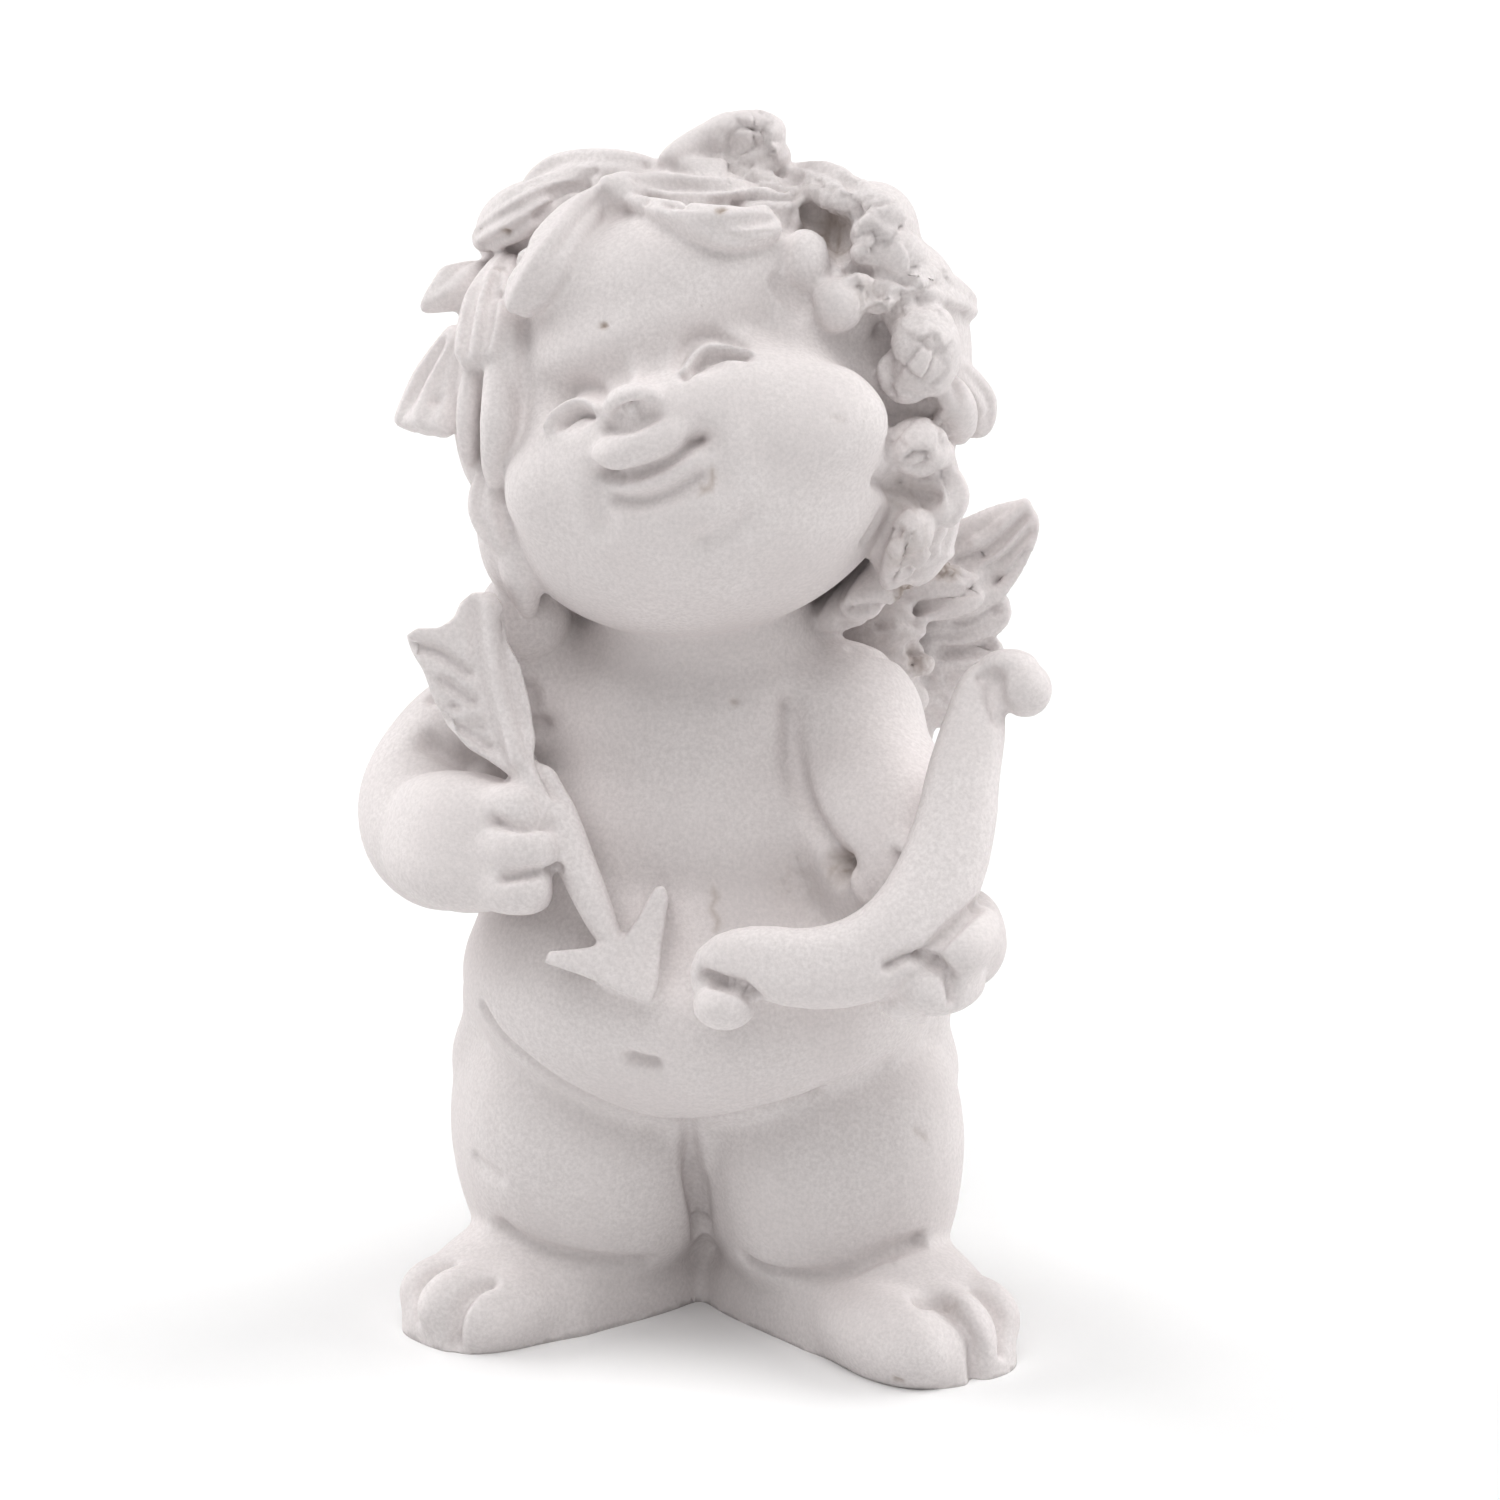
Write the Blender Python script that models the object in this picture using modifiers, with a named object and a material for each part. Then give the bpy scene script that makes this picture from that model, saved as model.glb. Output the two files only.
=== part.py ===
"""Plaster cherub with a bow and an arrow, cast in one piece and standing on bare feet.

Places and sizes of the free form are shares of the figure's height (units), in a frame with its
origin on the ground under the legs, +Z up and the figure facing -Y. Left and right are those of
someone who looks at the figure from the front. Carving is placed across and up as that person
sees it, and lies on the skin that the line of sight meets.
"""
import math

import bmesh
import bpy
import numpy as np
from mathutils import Matrix, Vector
from mathutils.bvhtree import BVHTree

# Driving dimensions
HEIGHT = 0.120
UNITS_TALL = 116.5
UNIT = HEIGHT / UNITS_TALL

# Casting grain, in units: the grid of the fused casting and of the softened forms under it,
# then the triangles left after thinning it
GRID = 0.5
FORM_GRID = 0.6
TRIANGLES = 9700

# Plaster
PLASTER_COLOUR = (0.80, 0.775, 0.765, 1.0)
PLASTER_ROUGHNESS = 0.85

# How far each stage is softened, in units
BODY_SOFTENING = 2.3
FOOT_SOFTENING = 1.0
HAND_SOFTENING = 1.0
HEAD_SOFTENING = 1.6
CHEEK_SOFTENING = 1.4
FACE_SOFTENING = 0.5
HAIR_SOFTENING = 1.2
CASTING_SOFTENING = 0.35

# The eye of someone in front: its bearing and height, the point that it looks at and how far off
SIGHT_BEARING = math.radians(6.0)
SIGHT_HEIGHT = math.radians(16.0)
SIGHT_MIDDLE = Vector((2.48, 14.85, 50.61))
SIGHT_DISTANCE = 600.0
ACROSS = Vector((math.cos(SIGHT_BEARING), math.sin(SIGHT_BEARING), 0.0))
TOWARDS = Vector((math.sin(SIGHT_BEARING) * math.cos(SIGHT_HEIGHT),
                  -math.cos(SIGHT_BEARING) * math.cos(SIGHT_HEIGHT), math.sin(SIGHT_HEIGHT)))
UPWARDS = TOWARDS.cross(ACROSS)
EYE = SIGHT_MIDDLE + TOWARDS * SIGHT_DISTANCE
NEAR_SIDE = 60.0
GROUND = Vector((0.0, 0.0, 0.0))

# Head: centre, and its pose as turn, nod and tilt in degrees
HEAD_CENTRE = Vector((-0.6, -3.0, 86.8))
HEAD_TURN = -13.0
HEAD_NOD = -25.0
HEAD_TILT = -19.0

# Balls of the body: centre and half-sizes
BODY_BALLS = {
    "chest": ((-1.0, 0.5, 57.0), (16.0, 12.5, 13.5)),
    "neck": ((-0.5, -0.5, 69.0), (11.0, 10.0, 7.0)),
    "ribs": ((-0.3, -0.6, 46.5), (19.0, 15.0, 14.5)),
    "belly core": ((-0.2, -2.6, 35.2), (22.6, 18.0, 14.8)),
    "waist": ((-0.3, 1.0, 30.0), (24.2, 14.8, 10.0)),
    "hips": ((-0.6, 2.0, 22.5), (25.2, 14.0, 13.0)),
    "back": ((-0.3, 3.0, 42.0), (16.0, 11.5, 18.0)),
    "left buttock": ((-10.0, 8.0, 21.0), (12.5, 9.5, 11.0)),
    "right buttock": ((10.0, 8.0, 21.0), (12.5, 9.5, 11.0)),
    "between the legs": ((-0.8, 1.0, 12.0), (3.0, 7.0, 13.0)),
    "left shoulder": ((-16.0, 0.5, 60.4), (8.5, 8.0, 8.4)),
    "right shoulder": ((12.4, -1.0, 57.5), (8.8, 8.8, 8.8)),
}

BELLY = ((-0.4, -3.2, 33.4), (23.0, 18.4, 14.0))

# Arms and legs: points along the middle, half-widths, half-thicknesses, bluntness, squareness
LIMBS = {
    "left arm": (((-15.5, 1.0, 61.0), (-22.0, 0.0, 56.5), (-25.6, -4.0, 49.8), (-23.0, -11.5, 47.6),
                  (-17.0, -17.0, 48.0)), (6.6, 7.4, 7.9, 7.6, 6.6), None, 2.0, 2.0),
    "right arm": (((11.5, -0.5, 60.0), (15.0, -4.6, 55.0), (17.8, -10.2, 49.6), (20.0, -14.4, 45.6),
                   (22.8, -19.0, 42.4)), (7.2, 8.4, 8.4, 7.8, 6.4), None, 2.0, 2.0),
}
LEGS = {
    "left leg": (((-12.2, 0.5, 29.0), (-12.4, -0.5, 17.0), (-11.9, -0.6, 2.6)), (12.2, 12.4, 12.2),
                 (13.0, 14.4, 14.0), 4.5, 2.5),
    "right leg": (((12.0, 0.5, 29.0), (12.2, -1.0, 17.0), (12.2, -1.4, 2.0)), (12.0, 12.3, 12.4),
                  (13.0, 15.0, 14.8), 4.5, 2.5),
}

# Feet: heel, middle and front of each, with half-widths and half-thicknesses
FEET = {
    "left foot": (((-2.0, 2.0, -1.0), (-16.2, -7.4, 0.0), (-25.4, -18.0, -0.5)), (7.8, 9.0, 7.2),
                  (8.6, 10.2, 7.0)),
    "right foot": (((1.4, 2.0, -1.0), (17.4, -8.8, 0.0), (28.2, -22.0, -0.5)), (8.2, 9.6, 7.8),
                   (8.6, 10.6, 7.4)),
}

# Toes: each as its root, knuckle and tip, with its half-width
TOES = {
    "left big toe": (((-11.6, -9.6, 2.6), (-18.2, -15.6, 2.8), (-22.6, -19.8, 2.0)), 4.2),
    "left second toe": (((-17.0, -12.0, 4.6), (-22.6, -16.2, 4.4), (-25.6, -18.6, 2.0)), 2.7),
    "left third toe": (((-18.6, -8.6, 4.8), (-25.2, -12.2, 4.2), (-28.0, -14.2, 2.0)), 2.5),
    "right big toe": (((12.0, -12.0, 2.8), (19.6, -19.6, 3.2), (25.0, -24.8, 2.4)), 4.7),
    "right second toe": (((20.8, -14.6, 5.0), (25.6, -18.8, 5.0), (28.4, -21.6, 2.4)), 2.8),
    "right third toe": (((22.6, -10.0, 5.0), (28.2, -14.4, 4.6), (30.8, -16.8, 2.2)), 2.6),
}
# Grooves between the toes, as the creases below
TOE_GROOVES = {
    "left first": (((-21.4, 0.6), (-22.6, 0.1), (-23.8, -1.0), (-24.7, -2.6), (-25.0, -5.6)), 1.3, 0.7),
    "left second": (((-25.4, 2.1), (-27.0, 1.2), (-28.3, -0.4), (-28.7, -3.0)), 1.1, 0.6),
    "right first": (((20.8, -1.4), (22.4, -1.3), (23.8, -2.3), (25.2, -4.0), (26.0, -6.0), (26.3, -9.0)),
                    1.4, 0.8),
    "right second": (((26.0, -0.5), (27.6, -1.8), (28.6, -3.6), (28.9, -6.4)), 1.1, 0.6),
}
FOOT_SQUARENESS = 2.4

# Balls of the head in the head's own frame
HEAD_BALLS = {
    "skull": ((0.0, 1.0, 1.5), (18.8, 18.2, 18.5)),
    "forehead": ((0.0, -5.0, 4.5), (15.5, 13.8, 13.5)),
    "face": ((0.0, -3.4, -3.6), (17.6, 16.4, 15.6)),
    "jaw": ((0.0, -1.5, -6.2), (18.9, 16.6, 13.4)),
}

# Features that stand out of the face: across, up and towards from the head's centre, half-sizes
# in the same three ways, and how far each is turned down to the left in degrees
CHEEKS = {
    "brow": ((-2.5, 13.4, 5.4), (14.0, 7.6, 10.8), 12.0),
    "left cheek": ((-12.8, -5.4, 9.0), (5.4, 5.8, 5.8), 0.0),
    "right cheek": ((7.8, -1.0, 13.2), (9.8, 6.4, 6.6), 10.0),
    "muzzle": ((-4.6, -2.2, 14.8), (7.2, 5.2, 4.4), 16.0),
    "chin": ((-3.8, -9.4, 13.4), (4.6, 3.0, 3.6), 12.0),
}
FEATURES = {
    "nose": ((-6.1, 2.9, 18.4), (2.9, 1.6, 2.9), 14.0),
    "nose root": ((-5.4, 4.2, 16.0), (2.4, 2.4, 3.0), 14.0),
    "upper lip": ((-4.4, -1.1, 16.8), (6.0, 2.9, 3.4), 18.0),
    "lower lip": ((-4.1, -5.0, 16.0), (3.7, 1.2, 2.5), 20.0),
}

# Strokes of the face: places across and up from the head's centre as the eye sees them, depth
# (negative is raised) and half-width
FACE_STROKES = {
    "eye hollow left": (((-15.4, 3.0), (-12.0, 4.4), (-8.4, 5.4)), 1.6, 2.2),
    "eye hollow right": (((-4.4, 7.0), (0.6, 9.4), (5.0, 10.4), (10.0, 11.4), (14.0, 11.0)), 1.7, 2.6),
    "left lid fold": (((-14.2, 2.5), (-13.4, 4.0), (-12.0, 4.7), (-10.5, 4.4), (-9.6, 3.4)), 0.7, 0.9),
    "left lid": (((-13.8, 0.2), (-13.2, 1.6), (-12.3, 2.7), (-11.2, 3.0), (-10.2, 2.6), (-9.4, 1.9)), -0.65,
                 0.42),
    "left eye": (((-13.0, 0.5), (-12.2, 1.5), (-11.2, 1.9), (-10.0, 1.6)), 1.1, 0.5),
    "left pupil": (((-11.7, 1.0), (-11.5, 1.1)), 0.6, 0.8),
    "right lid fold": (((-1.9, 6.8), (-1.0, 8.6), (0.6, 9.6), (2.6, 9.4), (4.4, 8.4)), 0.5, 0.9),
    "right lid": (((-1.2, 5.6), (-0.6, 7.0), (0.4, 8.1), (1.6, 8.4), (3.0, 8.0), (4.7, 7.3)), -0.65, 0.42),
    "right eye": (((-1.1, 5.1), (-0.2, 6.2), (0.8, 7.0), (2.0, 7.3), (3.4, 7.2), (4.6, 6.9)), 1.1, 0.5),
    "right pupil": (((1.1, 6.5), (1.3, 6.6)), 0.6, 0.8),
    "under the nose": (((-7.3, 1.4), (-6.2, 1.8), (-5.0, 1.9)), 0.9, 0.7),
    "left nostril": (((-7.8, 1.1), (-7.6, 1.2)), 0.8, 0.5),
    "nose foot": (((-8.4, 0.2), (-6.2, 0.3), (-4.0, 1.3)), 0.4, 0.6),
    "mouth line": (((-9.4, -3.9), (-8.5, -4.4), (-7.0, -4.5), (-5.5, -4.2), (-4.0, -3.8), (-2.5, -3.1),
                    (-1.2, -2.1), (-0.4, -1.2), (0.4, -0.7)), 1.3, 0.5),
    "left mouth corner": (((-9.6, -3.9), (-8.8, -4.4)), 0.6, 1.0),
    "right mouth corner": (((0.0, -1.0), (0.7, -0.6)), 0.6, 1.1),
    "lower lip edge": (((-6.4, -4.9), (-4.6, -4.4), (-2.6, -3.7), (-1.0, -2.6)), -0.35, 0.5),
    "below the lip": (((-8.0, -6.7), (-6.0, -6.9), (-4.4, -6.7), (-2.6, -6.1), (-1.0, -5.3), (0.2, -4.5)),
                      0.9, 1.0),
    "left smile fold": (((-9.7, -4.2), (-9.6, -6.4), (-9.2, -9.0)), 0.6, 1.3),
    "right smile fold": (((0.8, -0.4), (1.7, -2.4), (2.0, -4.6)), 0.45, 1.4),
    "chin furrow": (((0.4, -10.6), (2.4, -9.8), (4.4, -8.6)), 0.5, 1.4),
}

# Locks of hair: across, up and rise above the skin along each, as the eye sees them, then the
# half-widths, the half-thickness, how blunt the tip is, and how many strands run along it
LOCKS = {
    "crown top": (((-3.0, 24.2, 0.0), (-8.0, 24.4, 0.6), (-13.0, 23.8, 0.8), (-16.4, 22.0, 0.4)),
                  (2.0, 2.2, 2.4, 1.8), 1.8, 2.8, 2),
    "crown left": (((-8.2, 23.4, 0.0), (-13.0, 22.2, 1.2), (-17.2, 20.0, 1.8), (-20.6, 17.7, 1.6)),
                   (1.2, 2.3, 2.8, 2.5), 1.8, 3.2, 3),
    "broad end": (((-17.6, 16.0, 1.2), (-19.4, 11.6, 2.8), (-20.7, 5.9, 3.4)), (1.8, 2.7, 3.1), 2.0, 7.0, 3),
    "fringe lobe": (((-8.4, 22.6, 0.6), (-11.2, 19.6, 2.2), (-14.2, 15.4, 3.2), (-17.0, 11.4, 3.0)),
                    (0.9, 2.3, 3.0, 2.7), 1.9, 4.0, 1),
    "short point": (((-19.6, 15.6, 0.0), (-22.6, 13.2, 0.6), (-25.2, 11.1, 0.6)), (2.0, 2.4, 1.5), 1.8, 2.6,
                    2),
    "flared lock": (((-22.0, 9.4, 0.0), (-24.0, 4.5, 1.6), (-25.8, -0.2, 2.6)), (1.8, 3.2, 4.2), 1.7, 9.0,
                    3),
    "inner strand": (((-21.0, 7.6, 1.0), (-21.4, 1.6, 1.6), (-21.3, -3.6, 1.4)), (0.9, 1.1, 1.0), 1.3, 2.6,
                     1),
    "cheek lock": (((-19.2, 8.0, 2.0), (-19.1, 0.8, 2.6), (-19.0, -5.2, 2.4)), (1.2, 1.5, 1.5), 1.5, 3.4, 1),
    "side left": (((-19.0, -2.6, 0.0), (-19.4, -7.2, 0.4), (-18.0, -11.6, 0.2)), (2.0, 2.3, 1.8), 1.8, 2.4,
                  2),
    "nape left": (((-17.4, -9.4, 0.0), (-16.6, -13.4, 0.4), (-15.6, -17.4, 0.0)), (1.8, 1.8, 1.4), 1.6, 2.4,
                  1),
    "fringe sweep": (((-7.0, 21.6, 0.4), (-2.2, 20.0, 1.4), (2.6, 19.0, 2.2), (7.8, 19.0, 2.6)),
                     (0.6, 1.0, 1.8, 1.9), 1.5, 3.6, 2),
    "fringe middle": (((-6.4, 22.6, 0.6), (-1.2, 21.5, 1.8), (4.0, 21.3, 2.2), (9.0, 20.8, 2.2)),
                      (0.6, 1.0, 1.4, 1.5), 1.5, 4.0, 1),
    "fringe upper": (((-6.0, 23.4, 0.6), (0.0, 22.9, 1.6), (5.0, 22.5, 2.0), (9.2, 21.8, 2.0)),
                     (0.7, 1.0, 1.3, 1.4), 1.5, 4.0, 1),
    "fringe top": (((-4.8, 24.2, 0.4), (1.0, 24.1, 1.4), (6.0, 23.6, 1.6), (9.8, 22.8, 1.6)),
                   (0.8, 1.1, 1.3, 1.2), 1.5, 4.0, 1),
    "crown right": (((7.6, 24.0, 0.4), (12.0, 23.0, 1.8), (16.0, 21.4, 2.0)), (1.6, 2.2, 2.0), 2.0, 3.4, 2),
    "crown right end": (((14.0, 21.2, 1.6), (17.2, 20.4, 2.0), (19.0, 19.2, 1.6)), (1.8, 1.9, 1.4), 2.0,
                        3.0, 1),
    "wall": (((15.6, 21.0, 1.0), (15.8, 18.0, 1.8), (15.6, 15.4, 1.4)), (1.4, 1.7, 1.5), 2.2, 3.0, 1),
    "side block": (((15.0, 18.0, 1.2), (18.0, 16.8, 2.2), (20.4, 15.0, 1.6)), (2.2, 2.8, 2.2), 2.4, 3.6, 1),
    "side point": (((15.6, 14.6, 0.6), (20.6, 13.4, 1.6), (25.6, 11.2, 1.0)), (2.4, 3.1, 2.4), 2.2, 3.6, 2),
    "big lobe": (((17.6, 10.6, 1.2), (21.2, 10.0, 2.6), (22.4, 6.8, 3.0), (21.0, 4.0, 2.4)),
                 (1.6, 2.3, 2.4, 2.0), 2.4, 3.0, 1),
    "outer lock": (((23.6, 6.4, -0.6), (26.0, 2.6, -0.4), (26.4, -0.8, -0.8)), (1.6, 1.9, 1.5), 1.8, 2.6, 1),
    "inner lobe": (((22.8, 5.2, 1.0), (24.2, 2.2, 1.6), (24.6, -0.8, 1.2)), (1.4, 1.7, 1.4), 1.8, 2.6, 1),
    "lower lock": (((22.8, -3.0, 0.4), (23.8, -6.2, 1.0), (22.8, -9.2, 0.4)), (1.5, 1.8, 1.4), 1.8, 2.6, 1),
    "nape right": (((21.0, -7.0, 0.4), (19.8, -10.8, 0.8), (17.6, -14.6, 0.2)), (2.2, 2.2, 1.5), 1.8, 2.6,
                   2),
}

# Lines carved into the hair, as the strokes of the face
HAIR_STROKES = {
    "left of the lobe": (((-9.4, 23.2), (-12.6, 22.2), (-14.6, 19.8), (-16.6, 16.6), (-18.6, 12.8)), 0.9,
                         0.5),
    "lobe crest": (((-8.6, 23.2), (-11.0, 21.2), (-13.4, 18.2), (-16.0, 14.6), (-17.4, 11.6)), -0.55, 0.7),
    "lobe facet": (((-9.2, 21.8), (-11.4, 19.2), (-13.4, 15.8), (-15.0, 12.4)), 0.35, 0.8),
    "crown left upper": (((-9.6, 24.2), (-13.4, 22.4), (-17.6, 20.6), (-20.6, 18.8)), 0.5, 0.4),
    "crown left lower": (((-10.4, 23.0), (-14.6, 20.6), (-17.6, 18.4), (-20.0, 17.2)), 0.5, 0.4),
    "broad end outer": (((-20.4, 13.4), (-21.3, 10.0), (-21.9, 6.6)), 0.45, 0.4),
    "broad end inner": (((-18.9, 14.0), (-19.5, 10.0), (-20.0, 6.4)), 0.45, 0.4),
    "sweep upper edge": (((-6.4, 22.4), (-4.6, 21.5), (-1.6, 21.0), (2.0, 21.2), (5.6, 21.8), (9.0, 21.8)),
                         0.7, 0.4),
    "sweep ridge": (((-6.2, 21.6), (-4.2, 20.7), (-1.0, 20.2), (2.0, 20.0), (5.0, 20.4), (8.4, 20.9)),
                    -0.45, 0.45),
    "sweep line 1": (((0.4, 19.2), (3.4, 19.0), (6.4, 19.6), (9.0, 20.2)), 0.4, 0.3),
    "sweep line 2": (((1.4, 18.5), (4.2, 18.1), (6.8, 18.5), (8.8, 19.2)), 0.4, 0.3),
    "sweep line 3": (((3.0, 17.8), (5.4, 17.4), (7.6, 17.8)), 0.35, 0.3),
    "middle line": (((-5.6, 23.6), (-1.8, 22.7), (2.6, 22.8), (6.4, 22.9), (9.4, 22.2)), 0.6, 0.4),
    "top line": (((-4.8, 24.8), (0.0, 24.2), (4.2, 24.0), (8.6, 23.4)), 0.5, 0.4),
    "flared upper": (((-24.0, 8.2), (-25.8, 4.6), (-28.0, 0.8)), 0.5, 0.45),
    "flared lower": (((-22.6, 6.6), (-24.6, 2.6), (-26.0, -1.4)), 0.5, 0.45),
}

# Knobs and lumps of hair: across, up and rise as the eye sees them, and half-sizes across, up
# and towards
KNOBS = {
    "knob by the fringe": ((10.1, 15.8, 1.0), (2.4, 3.1, 2.4)),
    "second knob": ((13.2, 11.8, 1.0), (2.6, 2.6, 2.5)),
    "crumb above the knob": ((15.0, 13.8, 1.6), (1.6, 1.0, 1.2)),
    "crumb ledge": ((16.8, 12.0, 1.8), (1.8, 1.1, 1.3)),
    "crumb end": ((18.8, 11.2, 1.8), (1.6, 1.2, 1.2)),
    "tuft": ((4.9, 27.5, 4.5), (3.2, 2.46, 2.8)),
    "tuft block": ((5.0, 25.6, 4.0), (3.6, 2.0, 3.0)),
    "tuft side": ((7.0, 26.0, 3.4), (1.8, 2.4, 2.4)),
    "tuft ramp": ((0.6, 26.0, 3.0), (4.2, 1.7, 2.4)),
    "rough face": ((20.2, 5.4, 1.8), (3.0, 3.4, 2.0)),
    "wedge": ((20.6, -1.6, 2.2), (2.9, 2.8, 2.4)),
    "wedge end": ((22.6, -2.4, 1.8), (1.6, 1.8, 1.8)),
}

# Fillings under the locks: across, up and towards from the head's centre, and half-sizes
HAIR_MASSES = {
    "left": ((-20.2, 4.0, 0.0), (2.9, 10.0, 6.0)),
    "left temple": ((-15.6, 8.5, 0.5), (3.6, 7.0, 6.4)),
    "left crown": ((-13.6, 18.4, -4.6), (7.4, 5.4, 8.0)),
    "left low": ((-17.4, -8.0, -1.0), (3.4, 7.6, 6.0)),
    "nape": ((-15.0, -17.4, -4.0), (4.0, 4.2, 5.0)),
    "crown": ((-3.0, 21.8, -2.0), (10.0, 3.6, 9.0)),
    "right crown": ((13.0, 17.6, -2.6), (7.0, 5.0, 9.0)),
    "right": ((20.0, 6.0, 0.0), (4.6, 11.0, 7.6)),
    "right low": ((19.6, -7.0, -0.6), (4.6, 8.0, 7.4)),
}

# Hair cap over the skull, then rows of plain locks combed down at the back, in the head's own frame
HAIR_CAP = ((0.3, 3.4, 4.2), (20.6, 19.0, 21.2))
BACK_COUNTS = (6, 8, 8, 6)
BACK_ROWS = (
    (62.0, 24.0, 96.0, 262.0, 22.4),
    (30.0, -10.0, 104.0, 254.0, 22.2),
    (-6.0, -36.0, 112.0, 246.0, 22.0),
    (-28.0, -56.0, 128.0, 236.0, 21.6),
)
BACK_LOCK = (3.4, 4.2, 2.8)
STRAND_GROOVE = 0.45
BACK_LOCK_THICKNESS = 2.6

# Arrow in the left hand: places across and up from the ground point as the eye sees them, and how
# far towards the eye each lies
ARROW_TOWARDS = 31.0
SHAFT = (((-21.4, 66.0, 29.6), (-19.6, 57.0, 29.8), (-17.4, 51.0, 30.4), (-14.9, 46.0, 31.0),
          (-12.6, 40.5, 31.6),
          (-10.6, 36.0, 32.0), (-8.2, 31.0, 31.6)), (1.2, 1.7, 2.0, 2.0, 1.9, 2.0, 2.0))
ARROW_HEAD = ((-5.8, 27.8), (-5.0, 29.4), (-4.7, 33.0), (-3.9, 38.2), (-4.4, 39.4), (-5.3, 39.2),
              (-7.0, 36.2),
              (-8.6, 33.8), (-12.4, 33.2), (-15.7, 32.9), (-16.2, 31.8), (-12.6, 30.6), (-9.0, 29.1))
HEAD_THICKNESS = 4.6
VANE = ((-29.7, 63.9), (-28.6, 64.6), (-26.5, 64.6), (-25.0, 65.6), (-24.4, 67.1), (-23.2, 68.1),
        (-21.2, 68.1),
        (-20.2, 66.6), (-19.8, 63.4), (-18.5, 61.0), (-17.6, 57.5), (-17.0, 53.5), (-16.0, 50.4), (-18.8,
                                                                                                   49.6),
        (-21.4, 51.5), (-23.6, 52.8), (-25.6, 55.0), (-27.0, 57.6), (-28.0, 60.4), (-29.1, 62.2))
VANE_TOWARDS = 29.4
VANE_THICKNESS = 3.2
VANE_GROOVES = {
    "left 1": (((-29.0, 63.2), (-26.0, 61.6), (-23.4, 60.8)), 0.7, 0.4),
    "left 2": (((-28.2, 60.4), (-25.6, 59.0), (-23.2, 58.0)), 0.7, 0.4),
    "left 3": (((-27.0, 58.0), (-24.8, 56.6), (-22.6, 55.6)), 0.7, 0.4),
    "left 4": (((-26.0, 55.8), (-24.0, 54.4), (-21.8, 53.2)), 0.7, 0.4),
    "right 1": (((-20.5, 66.2), (-20.9, 62.4), (-20.9, 58.6)), 0.6, 0.4),
    "right 2": (((-18.9, 61.0), (-19.6, 57.4), (-19.6, 54.4)), 0.6, 0.4),
    "right 3": (((-22.6, 67.2), (-22.6, 63.0), (-22.2, 59.0)), 0.35, 0.4),
}

# Bow in the right hand, as the arrow
BOW_PATH = (
    (28.4, 61.2, 33.6), (26.6, 59.0, 34.0), (26.0, 55.0, 34.6), (24.9, 50.0, 35.4), (24.2, 45.6, 36.2),
    (22.6, 40.4, 37.2), (19.4, 35.0, 38.2), (14.6, 32.0, 38.6), (9.4, 31.2, 38.6), (4.6, 32.0, 38.2),
    (0.8, 31.8, 37.8), (-0.5, 29.4, 37.6), (0.4, 27.4, 37.6),
)
BOW_HALF_WIDTHS = (2.5, 3.1, 3.7, 3.8, 3.9, 4.1, 4.3, 4.1, 3.9, 3.7, 3.0, 1.9, 1.6)
BOW_BALLS = {
    "knob": ((31.0, 58.8, 35.2), (2.7, 2.7, 2.6)),
    "knob top": ((29.4, 60.8, 34.4), (2.8, 1.7, 2.4)),
    "curl": ((1.5, 27.6, 38.6), (2.9, 2.3, 2.8)),
}
BOW_GROOVES = {
    "curl": (((-0.4, 30.5), (0.8, 30.0), (2.0, 29.7), (3.2, 29.4), (4.3, 28.6)), 1.3, 0.6),
    "knob": (((28.0, 60.0), (27.8, 57.6), (28.4, 55.6)), 0.8, 0.9),
}

# Hands: blocks of the palms, then the fingers, all as the arrow, with half-widths and half-thicknesses
PALMS = {
    "left palm": (((-30.0, 45.2, 19.0), (-23.6, 43.6, 26.2), (-16.2, 43.0, 30.4)), (6.4, 6.7, 6.1),
                  (5.4, 5.6, 4.8), 3.0),
    "right palm": (((25.4, 38.0, 28.0), (24.8, 33.6, 31.6), (22.0, 30.2, 33.0)), (3.4, 4.6, 4.0),
                   (4.0, 4.8, 4.4), 2.2),
}
FINGERS = {
    "left finger 1": (((-22.6, 47.0, 28.0), (-18.6, 47.0, 30.4), (-16.2, 46.8, 30.6)), 2.4, 3.6),
    "left finger 2": (((-22.6, 43.0, 28.4), (-18.0, 43.1, 31.2), (-14.4, 42.9, 31.2)), 2.7, 4.0),
    "left finger 3": (((-22.4, 39.2, 28.0), (-18.4, 39.0, 30.8), (-15.2, 39.2, 30.8)), 2.5, 3.8),
    "right finger 1": (((27.0, 36.0, 34.0), (26.0, 33.4, 39.4), (23.2, 31.6, 41.6)), 2.5, 2.5),
    "right finger 2": (((24.8, 27.6, 34.0), (22.4, 28.9, 39.6), (19.6, 29.8, 41.8)), 2.6, 2.5),
    "right finger 3": (((21.4, 26.4, 32.6), (18.6, 27.4, 36.6), (17.0, 28.2, 37.8)), 1.3, 1.6),
    "right thumb": (((21.0, 44.8, 32.0), (19.0, 43.6, 33.6), (17.8, 42.8, 34.0)), 1.1, 1.2),
}
FINGER_BLUNTNESS = 3.0
FINGER_SQUARENESS = 2.5

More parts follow.
